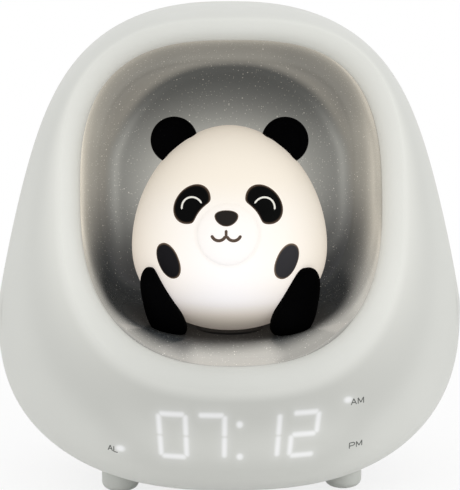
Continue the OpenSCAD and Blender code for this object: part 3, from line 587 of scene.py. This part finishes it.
def cave_light(x, y, z, deep):
    """The lamp's light on the liner, painted in as marks; deep is 0 degrees at the liner's front edge and 90 in its
    back.

    'rim' fades from the front edge inwards: within a few millimetres on the floor, more slowly on the walls. 'halo'
    grows up the walls, and 'bell' takes over on the back, where it is brightest behind the panda. Both are brighter
    in a line where the wall meets the back, a painted highlight, and the upper corners are darkened with painted
    shade. 'contact' is the panda's painted shadow on the floor round its seat.
    """
    sway = np.clip(x / 30, -1, 1)
    deep = deep + mix(-3, 1.5, smooth(58, 78, z)) * sway
    # Painted shade in the upper corners of the cave
    corner = smooth(10, 22, np.abs(x)) * smooth(104, 118, z) * (1 - smooth(40, 46, deep))
    corner_shade = 1 - (0.15 + 0.06 * sway) * corner

    side, wall = smooth(10, 16, np.abs(x + 0.7)), smooth(54, 62, z)
    start = mix(mix(6.2, 2.5, side), 20, smooth(60, 76, z))
    stop = mix(mix(16.8, 14.5, side), 47 - 8 * smooth(106, 126, z), smooth(50, 66, z))
    edge = mix(mix(0.465, 0.36, side), 0.345 - 0.07 * smooth(70, 110, z), wall)
    edge = edge * (1 - 0.45 * smooth(108, 132, z)) * (1 - 0.8 * smooth(74, 90, z) * (1 - smooth(-1.5, 7, deep)))
    edge = edge * (1 - 0.6 * smooth(78, 94, z) * (1 - smooth(108, 120, z)) * (1 - smooth(20, 30, deep)))
    sill = 54 + 8 * np.maximum(-sway, 0)
    foot = (0.1 + 0.04 * sway) * smooth(sill, sill + 6, z) * (1 - smooth(76, 86, z)) * (1 - smooth(4, 13, deep))
    rim = (edge + foot) * (1 - smooth(start, stop, deep)) * corner_shade

    glow = 0.004 + 0.184 * smooth(65, 98, z)
    bell = 0.746 * np.exp(-(((z - 89) / np.where(z > 89, 20.5, 15.8)) ** 2) - (x / 27) ** 2)
    back = (bell ** 3 + (0.8 * glow * (1 - smooth(100, 126, z))) ** 3) ** (1 / 3)
    # Painted highlight in a line where the wall meets the back
    line_highlight = 0.13 + 0.1 * smooth(122, 130, z)
    line = 1 + line_highlight * np.exp(-(((deep - 46.8) / 1.3) ** 2)) + 0.62 * np.exp(-(((deep - 49) / 1.6) ** 2))
    join = smooth(44, 48.3, deep)

    # Painted shadow of the panda on the floor round its seat
    near = np.hypot(x / 36, y / 20)
    return {"rim": rim, "halo": glow * (1 - join) * line * corner_shade, "bell": back * join * line,
            "contact": (1 - smooth(0.8, 1.35, near)) * (1 - smooth(51, 58, z))}


def cave_liner():
    """Liner as a closed bowl with an inner and an outer skin; only the inner one carries the painted light."""
    turn = spread((0, 360, 320))[None, :]
    steps = spread((0, 89.6, 110))[::-1, None]
    inner, outer = cave_skin(turn, steps, 0.0), cave_skin(turn, spread((0, 89, 24))[:, None], LINER_WALL)
    light = cave_light(inner[..., 0], inner[..., 1] - SHIFT_Y, inner[..., 2], np.degrees(steps))
    grid = np.concatenate([inner, outer])
    marks = {name: np.concatenate([mark, 0 * outer[..., 0]]) for name, mark in light.items()}
    # Painted shade: the 'shade' mark leaves the liner's lower half darker
    marks["shade"] = smooth(56, 84, grid[..., 2])
    ends = (np.array([0, CAVE_BACK_Y + SHIFT_Y, MOUTH_Z]), np.array([0, CAVE_BACK_Y + LINER_WALL + SHIFT_Y, MOUTH_Z]))
    return surface("cave_liner_skin", grid, LINER, marks=marks, ends=ends)


# ---- panda
COS_T, SIN_T = math.cos(math.radians(PANDA_TURN)), math.sin(math.radians(PANDA_TURN))
MUZZLE_X, MUZZLE_Y, MUZZLE_Z, MUZZLE_R, MUZZLE_H = -0.1, -24.83, 82.1, 9.4, 1.5


def from_panda(p):
    """Points of the panda's own frame turned into the clock's: a turn about Z that faces it a little to the left."""
    x, y, z = p[..., 0], p[..., 1], p[..., 2]
    return stack(x * COS_T + y * SIN_T, y * COS_T - x * SIN_T, z)


def egg_girth(z):
    """Share of the widest girth at height z, and the share's slope: r^n + h^n = 1 with h the share of the height.

    Above the widest level n is a little under 2, which draws the head in; below it n is a little over 2.
    """
    n = np.where(z >= PANDA_MID_Z, HEAD_N, BOTTOM_N)
    high = np.where(z >= PANDA_MID_Z, PANDA_HIGH, PANDA_LOW)
    h = np.clip((z - PANDA_MID_Z) / high, -0.9999, 0.9999)
    share = (1 - np.abs(h) ** n) ** (1 / n)
    return share, -np.sign(h) * np.abs(h) ** (n - 1) * share ** (1 - n) / high


def egg_normal(x, y, z):
    """Outward normal of the egg: its sections are ellipses of one shape, so it leans by the girth's slope."""
    a, b = PANDA_W / 2, PANDA_DEPTH * PANDA_W / 2
    share, slope = egg_girth(z)
    n = np.stack(np.broadcast_arrays(x / a ** 2, y / b ** 2, -share * slope), -1)
    return n / np.linalg.norm(n, axis=-1, keepdims=True)


def muzzle_rise(x, z):
    """Height of the muzzle over the egg: a low dome with a crisp foot."""
    away = np.hypot(x - MUZZLE_X, z - MUZZLE_Z) / MUZZLE_R
    return MUZZLE_H * np.clip(1 - away ** 2, 0, 1) ** 0.62


def on_egg(x, z, lift):
    """Point on the front of the egg over x, z, with its muzzle, lifted along the egg's normal."""
    share = egg_girth(z)[0]
    y = -PANDA_DEPTH * PANDA_W / 2 * np.sqrt(np.clip(share ** 2 - (2 * x / PANDA_W) ** 2, 1e-6, 1))
    rise = (muzzle_rise(x, z) + lift)[..., None]
    return np.stack(np.broadcast_arrays(x, y, z), -1) + egg_normal(x, y, z) * rise


def lamp_light(p):
    """Light that comes through the skin, and how white it is.

    The light is strongest in the belly, over the LEDs, a little weaker in the head, and falls off next to the
    seat, partly as painted shade there; the back, which faces the liner, lets more out. A thin ring of painted shade
    lies in the groove at the muzzle's foot. It is whitest in a bell round the middle of the belly.
    """
    x, y, z = p[..., 0], p[..., 1], p[..., 2]
    lit = mix(0.4, 0.255, smooth(64, 100, z)) - (0.045 + 0.0009 * x) * smooth(15, 30, np.abs(x))
    # The fall next to the seat is partly painted shade
    lit = lit * mix(0.42, 1.0, smooth(51.5, 62, z)) * mix(1.0, 1.5, smooth(2, 12, y))
    away = np.hypot(x - MUZZLE_X, z - MUZZLE_Z) / MUZZLE_R
    # Painted shade in the groove at the muzzle's foot
    lit = lit - 0.05 * np.exp(-(((away - 1.03) / 0.07) ** 2)) * (y < 0) * (1 - smooth(84, 91, z))
    return {"lit": lit, "core": np.exp(-((x / 21) ** 2)) * (1 - smooth(84, 100, z)) * smooth(53, 62, z)}


def panda_body():
    """Egg seen from a pole at the muzzle: rings of directions round it, each taken out to the egg's skin."""
    face_dir = np.array([MUZZLE_X, MUZZLE_Y, MUZZLE_Z - PANDA_MID_Z])
    w = face_dir / np.linalg.norm(face_dir)
    r = np.cross(w, [0, 0, 1.0])
    r = r / np.linalg.norm(r)
    v = np.cross(r, w)
    open_angle = spread((1.2, 17, 12), (17, 26, 42), (26, 178.5, 110))[:, None]
    roll = spread((0, 360, 300))[None, :]
    d = (np.cos(open_angle)[..., None] * w + (np.sin(open_angle) * np.cos(roll))[..., None] * r
         + (np.sin(open_angle) * np.sin(roll))[..., None] * v)

    def reach(d):
        up = d[..., 2] >= 0
        n, high = np.where(up, HEAD_N, BOTTOM_N), np.where(up, PANDA_HIGH, PANDA_LOW)
        flat = np.hypot(d[..., 0] * 2 / PANDA_W, d[..., 1] * 2 / (PANDA_DEPTH * PANDA_W))
        t = (flat ** n + np.abs(d[..., 2] / high) ** n) ** (-1 / n)
        p = d * t[..., None] + np.array([0, 0, PANDA_MID_Z])
        bump = muzzle_rise(p[..., 0], p[..., 2]) * (p[..., 1] < 0)
        return p + egg_normal(p[..., 0], p[..., 1], p[..., 2]) * bump[..., None]

    grid = reach(d)
    ends = tuple(from_panda(reach(s * w)) for s in (1, -1))
    return surface("panda_lamp_body", from_panda(grid), SKIN, marks=lamp_light(grid), ends=ends)


def panda_ear(name, side):
    """Ear: a disc with a fat rounded edge and a shallow dish in its front, standing on the head."""
    radius, half_t, dish, ear_x, ear_z = 7.4, 3.2, 1.3, side * 17.4, PANDA_MID_Z + 33.3
    angle = spread((0, 360, 96))[None, :]
    out, thick = squared_circle(spread((2, 178, 60))[:, None] - np.pi / 2, 2.6)
    r = radius * out
    y = half_t * thick + dish * (1 - smooth(0.55, 0.82, out)) * (thick < 0)
    grid = np.stack(np.broadcast_arrays(ear_x + r * np.cos(angle), y, ear_z + r * np.sin(angle)), -1)
    tip = np.array([[ear_x, -half_t + dish, ear_z], [ear_x, half_t, ear_z]])
    return surface(name, from_panda(grid), BLACK, ends=tuple(from_panda(tip)))


def panda_leg(name, side):
    """Leg: rings stacked from the sole (h = 0) to the knee (h = 1).

    Half the width is a straight taper times the superellipse (1 - |2 h - 1|^3)^(1/3). The middle moves outwards
    and forwards with h and turns back in at the knee. A slightly fuller right leg makes up for the panda's turn.
    """
    h = ((1 - np.cos(spread((4, 176, 72)))) / 2)[:, None]
    end = (1 - np.abs(2 * h - 1) ** 3) ** (1 / 3)
    wide = (7.5 - 3.7 * h + side * (0.4 + 0.5 * h)) * end
    deep = (6.9 - 2.7 * h) * end
    mid_x = side * (17.75 + 7.85 * h - 1.3 * h ** 6) + 0.45 - 1.05 * h + 0.5 * h ** 6
    mid_y, mid_z = -13.6 - 2.2 * h, 48.5 + 22.0 * h
    px, py = squared_circle(spread((0, 360, 72))[None, :], 2.15)
    grid = np.stack(np.broadcast_arrays(mid_x + wide * px, mid_y + deep * py, mid_z), -1)
    return surface(name, from_panda(grid), BLACK, ends=tuple(from_panda(grid[[0, -1]].mean(1))))


def lamp_seat():
    """Seat under the panda, as a closed profile turned round: a rounded rim, a neck through the floor, and a bore."""
    t = np.radians(np.linspace(-90, 150, 24))
    px, pz = squared_circle(t, 3.0)
    r = np.concatenate([[9.2, 9.2, 11.6, 11.6], 9.9 + 1.9 * px, [9.0, 8.8]])[:, None]
    z = np.concatenate([[47.6, 39.6, 39.6, 44.8], 46.9 + 1.9 * pz, [48.7, 48.4]])[:, None]
    angle = spread((0, 360, 120))[None, :]
    grid = np.stack(np.broadcast_arrays(r * np.cos(angle), r * np.sin(angle), z), -1)
    return surface("lamp_seat_ring", from_panda(grid), SEAT)


def soft_foot(name, node):
    """Rubber foot turned round its own middle: straight sides and a squared quarter circle at the bottom."""
    low, high = (np.array(corner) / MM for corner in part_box(node))
    radius, round_h = (high[0] - low[0]) / 2, 3.4
    out, down = squared_circle(spread((1, 90, 28)), 2.7)
    r = radius * np.concatenate([[0.05, 0.97, 1.0], down[::-1]])[::-1, None]
    z = np.concatenate([[high[2], high[2], high[2] - 0.2], low[2] + round_h * (1 - out[::-1])])[::-1, None]
    angle = spread((0, 360, 72))[None, :]
    middle = (low + high) / 2
    grid = np.stack(np.broadcast_arrays(middle[0] + r * np.cos(angle), middle[1] + r * np.sin(angle), z), -1)
    piece = surface(name, grid, FOOT, ends=tuple(grid[[0, -1]].mean(1)))
    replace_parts(piece, node)


# ---- prints
def stamp(name, loop, place, material, lift, dome=0.0):
    """Filled print: a closed loop (points, 2) shrunk in rings to its middle, laid on a surface.

    Its top stands proud by lift, plus a dome of one minus the square of the share of the radius, its edge is
    rounded, and its underside lies just below the surface. The mark 'edge' is 1 on the outermost ring.
    """
    middle = loop.mean(0)
    share = np.concatenate([np.linspace(0.06, 0.86, 12), [0.9, 0.94, 0.97, 0.99, 1.0]])[:, None]
    span = middle + (loop - middle) * share[..., None]
    height = lift * np.sqrt(np.clip(1 - ((share - 0.86) / 0.14).clip(0, 1) ** 2, 0, 1)) + dome * (1 - share ** 2)
    top = place(span[..., 0], span[..., 1], height * np.ones(loop.shape[0]))
    span = middle + (loop - middle) * share[::-2, :, None]
    bottom = place(span[..., 0], span[..., 1], -0.25 * np.ones(span.shape[:2]))
    edge = np.concatenate([smooth(0.88, 0.97, share) * np.ones(loop.shape[0]), np.ones(bottom.shape[:2])])
    tips = tuple(place(middle[:1], middle[1:], np.array([h]))[0] for h in (lift + dome, -0.25))
    return surface(name, np.concatenate([top, bottom]), material, ends=tips, marks={"edge": edge})


def line_print(name, path, width, place, material, lift):
    """Printed line: a flat rounded tube along a path (points, 2), its width drawn in to nothing at both ends."""
    path = np.asarray(path, float)
    step = np.gradient(path, axis=0)
    step = step / np.linalg.norm(step, axis=1, keepdims=True)
    side = np.stack([-step[:, 1], step[:, 0]], -1)
    run = np.concatenate([[0], np.cumsum(np.linalg.norm(np.diff(path, axis=0), axis=1))])
    end = np.minimum(run, run[-1] - run) / (width / 2)
    half = width / 2 * np.sqrt(np.clip(1 - np.clip(1 - end, 0, 1) ** 2, 0.003, 1))
    across = np.array([-1, -0.8, 0, 0.8, 1, 0.8, -0.8])
    height = np.array([0, lift, lift, lift, 0, -0.2, -0.2])
    spots = path[:, None, :] + side[:, None, :] * (half[:, None] * across)[..., None]
    grid = place(spots[..., 0], spots[..., 1], height * np.ones((len(path), 1)))
    edge = np.ones((len(path), 1)) * (np.abs(across) > 0.9)
    return surface(name, grid, material, ends=(grid[0].mean(0), grid[-1].mean(0)), marks={"edge": edge})


def panda_place(x, z, lift):
    return from_panda(on_egg(x, z, lift))


def eye_patch(side):
    """Eye patch: a slanting oval with a bite that follows the muzzle, as radii round the oval's middle.

    The radius is the softened lesser of the oval's and of the way to the muzzle's margin.
    """
    angle = spread((0, 360, 120))
    cx, cz, a, b, tilt = 11.05, 90.85, 6.75, 4.85, math.radians(-47.6)
    margin, soft = 11.05, 0.45
    c, s = np.cos(angle - tilt), np.sin(angle - tilt)
    whole = 1 / np.sqrt((c / a) ** 2 + (s / b) ** 2)
    dx, dz = MUZZLE_X - cx, MUZZLE_Z - cz
    toward = np.cos(angle) * dx + np.sin(angle) * dz
    gap = dx ** 2 + dz ** 2 - margin ** 2
    root = np.sqrt(np.clip(toward ** 2 - gap, 0, None))
    bite = np.where((toward > 0) & (toward ** 2 > gap), toward - root, 99.0)
    radius = -soft * np.log(np.exp(-whole / soft) + np.exp(-bite / soft))
    for _ in range(3):
        radius = (np.roll(radius, 1) + 2 * radius + np.roll(radius, -1)) / 4
    return np.stack([side * (cx + radius * np.cos(angle)) - 0.1, cz + radius * np.sin(angle)], -1)


def arc(cx, cz, r, start, end):
    """Part of a circle from start to end degrees."""
    t = np.radians(np.linspace(start, end, 28))
    return np.stack([cx + r * np.cos(t), cz + r * np.sin(t)], -1)


def oval(cx, cz, a, b, tilt, power):
    """Closed superellipse loop, tilted by degrees."""
    px, pz = squared_circle(spread((0, 360, 96)), power)
    c, s = math.cos(math.radians(tilt)), math.sin(math.radians(tilt))
    return np.stack([cx + a * px * c - b * pz * s, cz + a * px * s + b * pz * c], -1)


def nose_loop():
    """Nose: a soft triangle, an oval whose width shrinks towards its lower tip."""
    t = spread((0, 360, 96))
    s = np.sin(t)
    wide = 3.5 * (1 + 0.16 * s - 0.1 * s ** 2)
    return np.stack([-0.5 + wide * spow(np.cos(t), 0.85), 87.15 + np.where(s > 0, 2.1, 2.65) * spow(s, 0.95)], -1)


def panda_face():
    """Eye patches, smiling eyes, nose, mouth and paws, all printed on the lamp's skin."""
    for side, word in ((-1, "left"), (1, "right")):
        stamp(f"print_{word}_eye_patch", eye_patch(side), panda_place, INK, 0.1)
        eye = arc(side * 10.95 - 0.05, 89.7, 3.25, 90 + side * 62, 90 - side * 100)
        line_print(f"print_{word}_eye_line", eye, 0.62, panda_place, EYE_INK, 0.16)
        paw = oval(side * 18.15 - 0.25, 73.15, 3.35, 5.75, -side * 22, 2.15)
        stamp(f"pad_{word}_paw", paw, panda_place, PAW_INK if side < 0 else LIT_PAW_INK, 0.14, dome=0.5)
        smile = arc(side * 2.2 - 0.55, 82.45, 2.15, -90 - side * 72, -90 + side * 76)
        line_print(f"print_{word}_smile", smile, 0.95, panda_place, MOUTH_INK, 0.1)
    stem = np.stack([np.full(16, -0.55), np.linspace(83.5, 81.6, 16)], -1)
    line_print("print_mouth_stem", stem, 0.85, panda_place, MOUTH_INK, 0.09)
    stamp("print_nose", nose_loop(), panda_place, NOSE_INK, 0.14, dome=0.25)


# ---- labels
def chin_place(x, z, lift):
    """Point of the front skin over x, z, found by Newton steps on its two parameters, stood proud towards -Y."""
    shape = np.broadcast(x, z).shape
    turn = np.full(shape, -np.pi / 2) + x / 75
    rise = np.full(shape, math.radians(70.0))
    small = 1e-4
    for _ in range(14):
        p = front_skin(turn, rise)
        dt = (front_skin(turn + small, rise) - p) / small
        dr = (front_skin(turn, rise + small) - p) / small
        ex, ez = x - p[..., 0], z - p[..., 2]
        det = dt[..., 0] * dr[..., 2] - dr[..., 0] * dt[..., 2]
        turn = turn + np.clip((ex * dr[..., 2] - ez * dr[..., 0]) / det, -0.15, 0.15)
        rise = np.clip(rise + np.clip((dt[..., 0] * ez - dt[..., 2] * ex) / det, -0.15, 0.15), 0.05, 1.56)
    p = front_skin(turn, rise)
    a, b = front_skin(turn + small, rise) - p, front_skin(turn, rise + small) - p
    n = np.cross(a, b)
    n = n / np.linalg.norm(n, axis=-1, keepdims=True)
    n = n * -np.sign(n[..., 1:2])
    return p + n * np.asarray(lift)[..., None]


# Way from one letter to the next, in widths, and the letters' strokes as shares of a letter's width and height
PITCH = 1.28
LETTERS = {"A": (((0, 0), (0.5, 1), (1, 0)), ((0.2, 0.36), (0.8, 0.36))), "L": (((0, 1), (0, 0), (0.9, 0)),),
           "M": (((0, 0), (0, 1), (0.5, 0.2), (1, 1), (1, 0)),),
           "P": (((0, 0), (0, 1), (0.72, 1), (0.95, 0.86), (0.95, 0.6), (0.72, 0.46), (0, 0.46)),),
           "S": (((0.92, 0.86), (0.7, 1), (0.28, 1), (0.05, 0.78), (0.28, 0.54), (0.72, 0.46), (0.95, 0.22),
                  (0.7, 0), (0.28, 0), (0.05, 0.14)),),
           "E": (((0.9, 1), (0, 1), (0, 0), (0.9, 0)), ((0, 0.52), (0.75, 0.52))),
           "T": (((0, 1), (1, 1)), ((0.5, 1), (0.5, 0))),
           "O": (((0.5, 1), (0.12, 0.86), (0, 0.5), (0.12, 0.14), (0.5, 0), (0.88, 0.14), (1, 0.5), (0.88, 0.86),
                  (0.5, 1)),),
           "N": (((0, 0), (0, 1), (1, 0), (1, 1)),), "F": (((0.9, 1), (0, 1), (0, 0)), ((0, 0.52), (0.75, 0.52))),
           "+": (((0, 0.5), (1, 0.5)), ((0.5, 0), (0.5, 1))), "-": (((0, 0.5), (1, 0.5)),)}


def dense(points, step):
    """A path resampled at even steps along its straight runs."""
    points = np.asarray(points, float)
    run = np.concatenate([[0], np.cumsum(np.linalg.norm(np.diff(points, axis=0), axis=1))])
    at = np.linspace(0, run[-1], max(8, int(run[-1] / step)))
    return np.stack([np.interp(at, run, points[:, k]) for k in (0, 1)], -1)


def lettering(name, word, x, z, width, height, stroke, place, pitch=PITCH, slope=0.0, flip=1):
    """A word in plain strokes: each letter's strokes scaled to width and height, set pitch widths apart."""
    for i, letter in enumerate(word):
        for k, strokes in enumerate(LETTERS[letter]):
            p = np.asarray(strokes, float) * [width, height] + [i * pitch * width, 0]
            path = dense(np.stack([x + flip * p[:, 0], z + p[:, 1] + slope * p[:, 0]], -1), 0.12)
            line_print(f"{name}_{i}{k}", path, stroke, place, LABEL_INK, 0.03)


def chin_labels():
    """Plain marks beside the three small lights."""
    lettering("label_alarm", "AL", -38.75, 19.0, 1.35, 1.75, 0.31, chin_place, slope=-0.14)
    lettering("label_morning", "AM", 34.5, 32.45, 1.75, 1.8, 0.31, chin_place, 1.3, 0.05)
    lettering("label_afternoon", "PM", 34.0, 19.1, 1.75, 1.8, 0.31, chin_place, 1.3, 0.1)


def panel_place(x, z, lift):
    """Point over x, z on the flat rear panel."""
    return stack(x + 0 * lift, PANEL_BACK + lift, z + 0 * lift)


def panel_labels():
    """Plain marks over the keys and beside the slider; seen from behind, so they run towards -X."""
    for word, x in (("SET", -24), ("AL", -12), ("-", 0), ("+", 12)):
        wide = 1.25 if len(word) > 1 else 1.5
        span = (len(word) - 1) * PITCH * wide + wide
        lettering(f"mark_{len(word)}_{abs(x)}", word, x + span / 2, 87.6, wide, 1.6, 0.24, panel_place, flip=-1)
    lettering("mark_on", "ON", 14.9, 72.6, 1.1, 1.4, 0.22, panel_place, flip=-1)
    lettering("mark_off", "OFF", 36.5, 72.6, 1.1, 1.4, 0.22, panel_place, flip=-1)


# ---- build
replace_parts(front_housing(), "front_housing")
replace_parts(rear_housing(), "rear_housing")
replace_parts(cave_liner(), "cavity_liner")
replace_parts(panda_body(), "panda_body")
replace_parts(panda_ear("panda_ear_left_soft", -1), "panda_left_ear")
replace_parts(panda_ear("panda_ear_right_soft", 1), "panda_right_ear")
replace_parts(panda_leg("panda_leg_left_soft", -1), "panda_left_leg")
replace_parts(panda_leg("panda_leg_right_soft", 1), "panda_right_leg")
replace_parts(lamp_seat(), "lamp_seat")
for corner in ("front_left", "front_right", "rear_left", "rear_right"):
    soft_foot(f"{corner}_soft_foot", f"{corner}_foot")
panda_face()
chin_labels()
panel_labels()

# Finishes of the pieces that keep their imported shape
FINISHES = (
    (moulded("panel_plastic", "D3D4D0", 0.55, grain=1100.0, depth=0.00004), "rear_panel cell_cover"),
    (moulded("key_plastic", "DADBD8", 0.42, grain=2400.0, depth=0.00001),
     "lamp_key set_key alarm_key minus_key plus_key sound_key"),
    (moulded("slider_plastic", "4A4C4E", 0.45), "alarm_slider"),
    (moulded("dark_plastic", "26272A", 0.5), "display_mask cell_holder speaker_frame"),
    (moulded("frame_plastic", "A9ABA9", 0.5), "chassis"),
    (moulded("diffuser_film", "ECECEA", 0.4), "display_diffuser"),
    (moulded("component_body", "202124", 0.4), "controller_chip tact_switches"),
    (moulded("led_resin", "F6EFC0", 0.25, drift=0.01), "display_leds lamp_leds"),
    (moulded("speaker_cone", "1C1D1F", 0.7, grain=700.0, depth=0.00008), "speaker_cone"),
    (metal("plated_steel", "B9BABC", 0.3), "panel_screws display_screws lamp_screws chassis_screws board_screws "
                                           "usb_socket coin_cell slide_switch"),
    (metal("plated_magnet", "7C7D80", 0.4), "speaker_magnet"),
    (circuit_board("green_board", "1C5A36", "2E7348"), "display_board main_board"),
    (circuit_board("white_board", "E4E4DF", "F1F1EC"), "lamp_board"),
    (clear_rod(), "indicator_pipes"),
)
for finish, nodes in FINISHES:
    for node in nodes.split():
        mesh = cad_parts[node].data
        mesh.materials.clear()
        mesh.materials.append(finish)


# ---- floor, light and camera
# Sensor in mm, and the focal length and the image's longer side in pixels
SENSOR, FOCAL, IMAGE = 36, 2214.6, 490


def studio_floor():
    """Pale disc, four fifths plain white near the clock, so that its shadow is soft, and all white further out."""
    f = Finish("studio_floor")
    away = f.put("ShaderNodeVectorMath", {0: f.place()}, out="Value", operation="LENGTH")
    share = f.math("MULTIPLY", f.background_seen(), f.math("MAXIMUM", f.ramp(away, 0.12, 0.42), 0.8))
    f.tree.nodes.remove(f.shader)
    matt = f.put("ShaderNodeBsdfDiffuse", {"Color": (0.93, 0.93, 0.93)})
    white = f.put("ShaderNodeEmission", {"Color": (1, 1, 1), "Strength": 1.0})
    both = f.put("ShaderNodeMixShader", {0: share, 1: matt, 2: white})
    f.feed(f.tree.nodes["Material Output"].inputs["Surface"], both)
    angle, radius = spread((0, 360, 96)), np.array([0.1, 0.3, 0.8, 2.0, 5.0])[:, None]
    points = np.stack(np.broadcast_arrays(radius * np.cos(angle), radius * np.sin(angle), -0.0001), -1)
    quads = grid_quads(len(radius), len(angle))[:-1].reshape(-1, 4)
    mesh = bpy.data.meshes.new("studio_floor")
    mesh.from_pydata(points.reshape(-1, 3).tolist(), [], quads.tolist() + [list(range(len(angle)))])
    mesh.materials.append(f.material)
    link("studio_floor", mesh)


def studio_world(level):
    """White behind the object, and an even soft light of the given level from everywhere else."""
    world = bpy.data.worlds.new("studio_world")
    world.use_nodes = True
    nodes = Nodes(world.node_tree)
    back = nodes.tree.nodes["Background"].inputs
    nodes.feed(back["Color"], (1, 1, 1))
    nodes.feed(back["Strength"], nodes.ramp(nodes.background_seen(), 0.0, 1.0, level, 1.0))
    bpy.context.scene.world = world


def softbox(name, place, width, power):
    """Rectangular light in watts, aimed at the middle of the clock."""
    lamp = bpy.data.lights.new(name, "AREA")
    lamp.shape, lamp.size, lamp.size_y, lamp.energy = "RECTANGLE", width, 0.8, power
    box = link(name, lamp)
    box.location = place
    box.rotation_euler = (Vector((0, 0, 0.07)) - Vector(place)).to_track_quat("-Z", "Y").to_euler()


def camera(distance, elevation, azimuth, aim, lens):
    """Camera at a distance from its aim, at the given elevation and azimuth in degrees."""
    e, a = math.radians(elevation), math.radians(azimuth)
    back = Vector((math.sin(a) * math.cos(e), -math.cos(a) * math.cos(e), math.sin(e)))
    data = bpy.data.cameras.new("view_camera")
    data.lens, data.sensor_width, data.clip_start, data.clip_end = lens, SENSOR, 0.01, 50
    data.shift_x = 0.001
    eye = link("view_camera", data)
    eye.location = Vector(aim) + back * distance
    eye.rotation_euler = (-back).to_track_quat("-Z", "Y").to_euler()
    bpy.context.scene.camera = eye


studio_floor()
studio_world(0.96)
softbox("top_light", (0.0, -0.25, 1.25), width=1.0, power=0.32)
softbox("left_light", (-1.0, -0.75, 0.65), width=0.7, power=0.1)
softbox("right_light", (1.0, -0.75, 0.65), width=0.7, power=1.3)
camera(distance=0.7, elevation=9.0, azimuth=-3.0, aim=(0, SHIFT_Y * MM, 0.075), lens=FOCAL * SENSOR / IMAGE)
bpy.context.scene.view_settings.view_transform = "Standard"

bpy.context.view_layer.update()
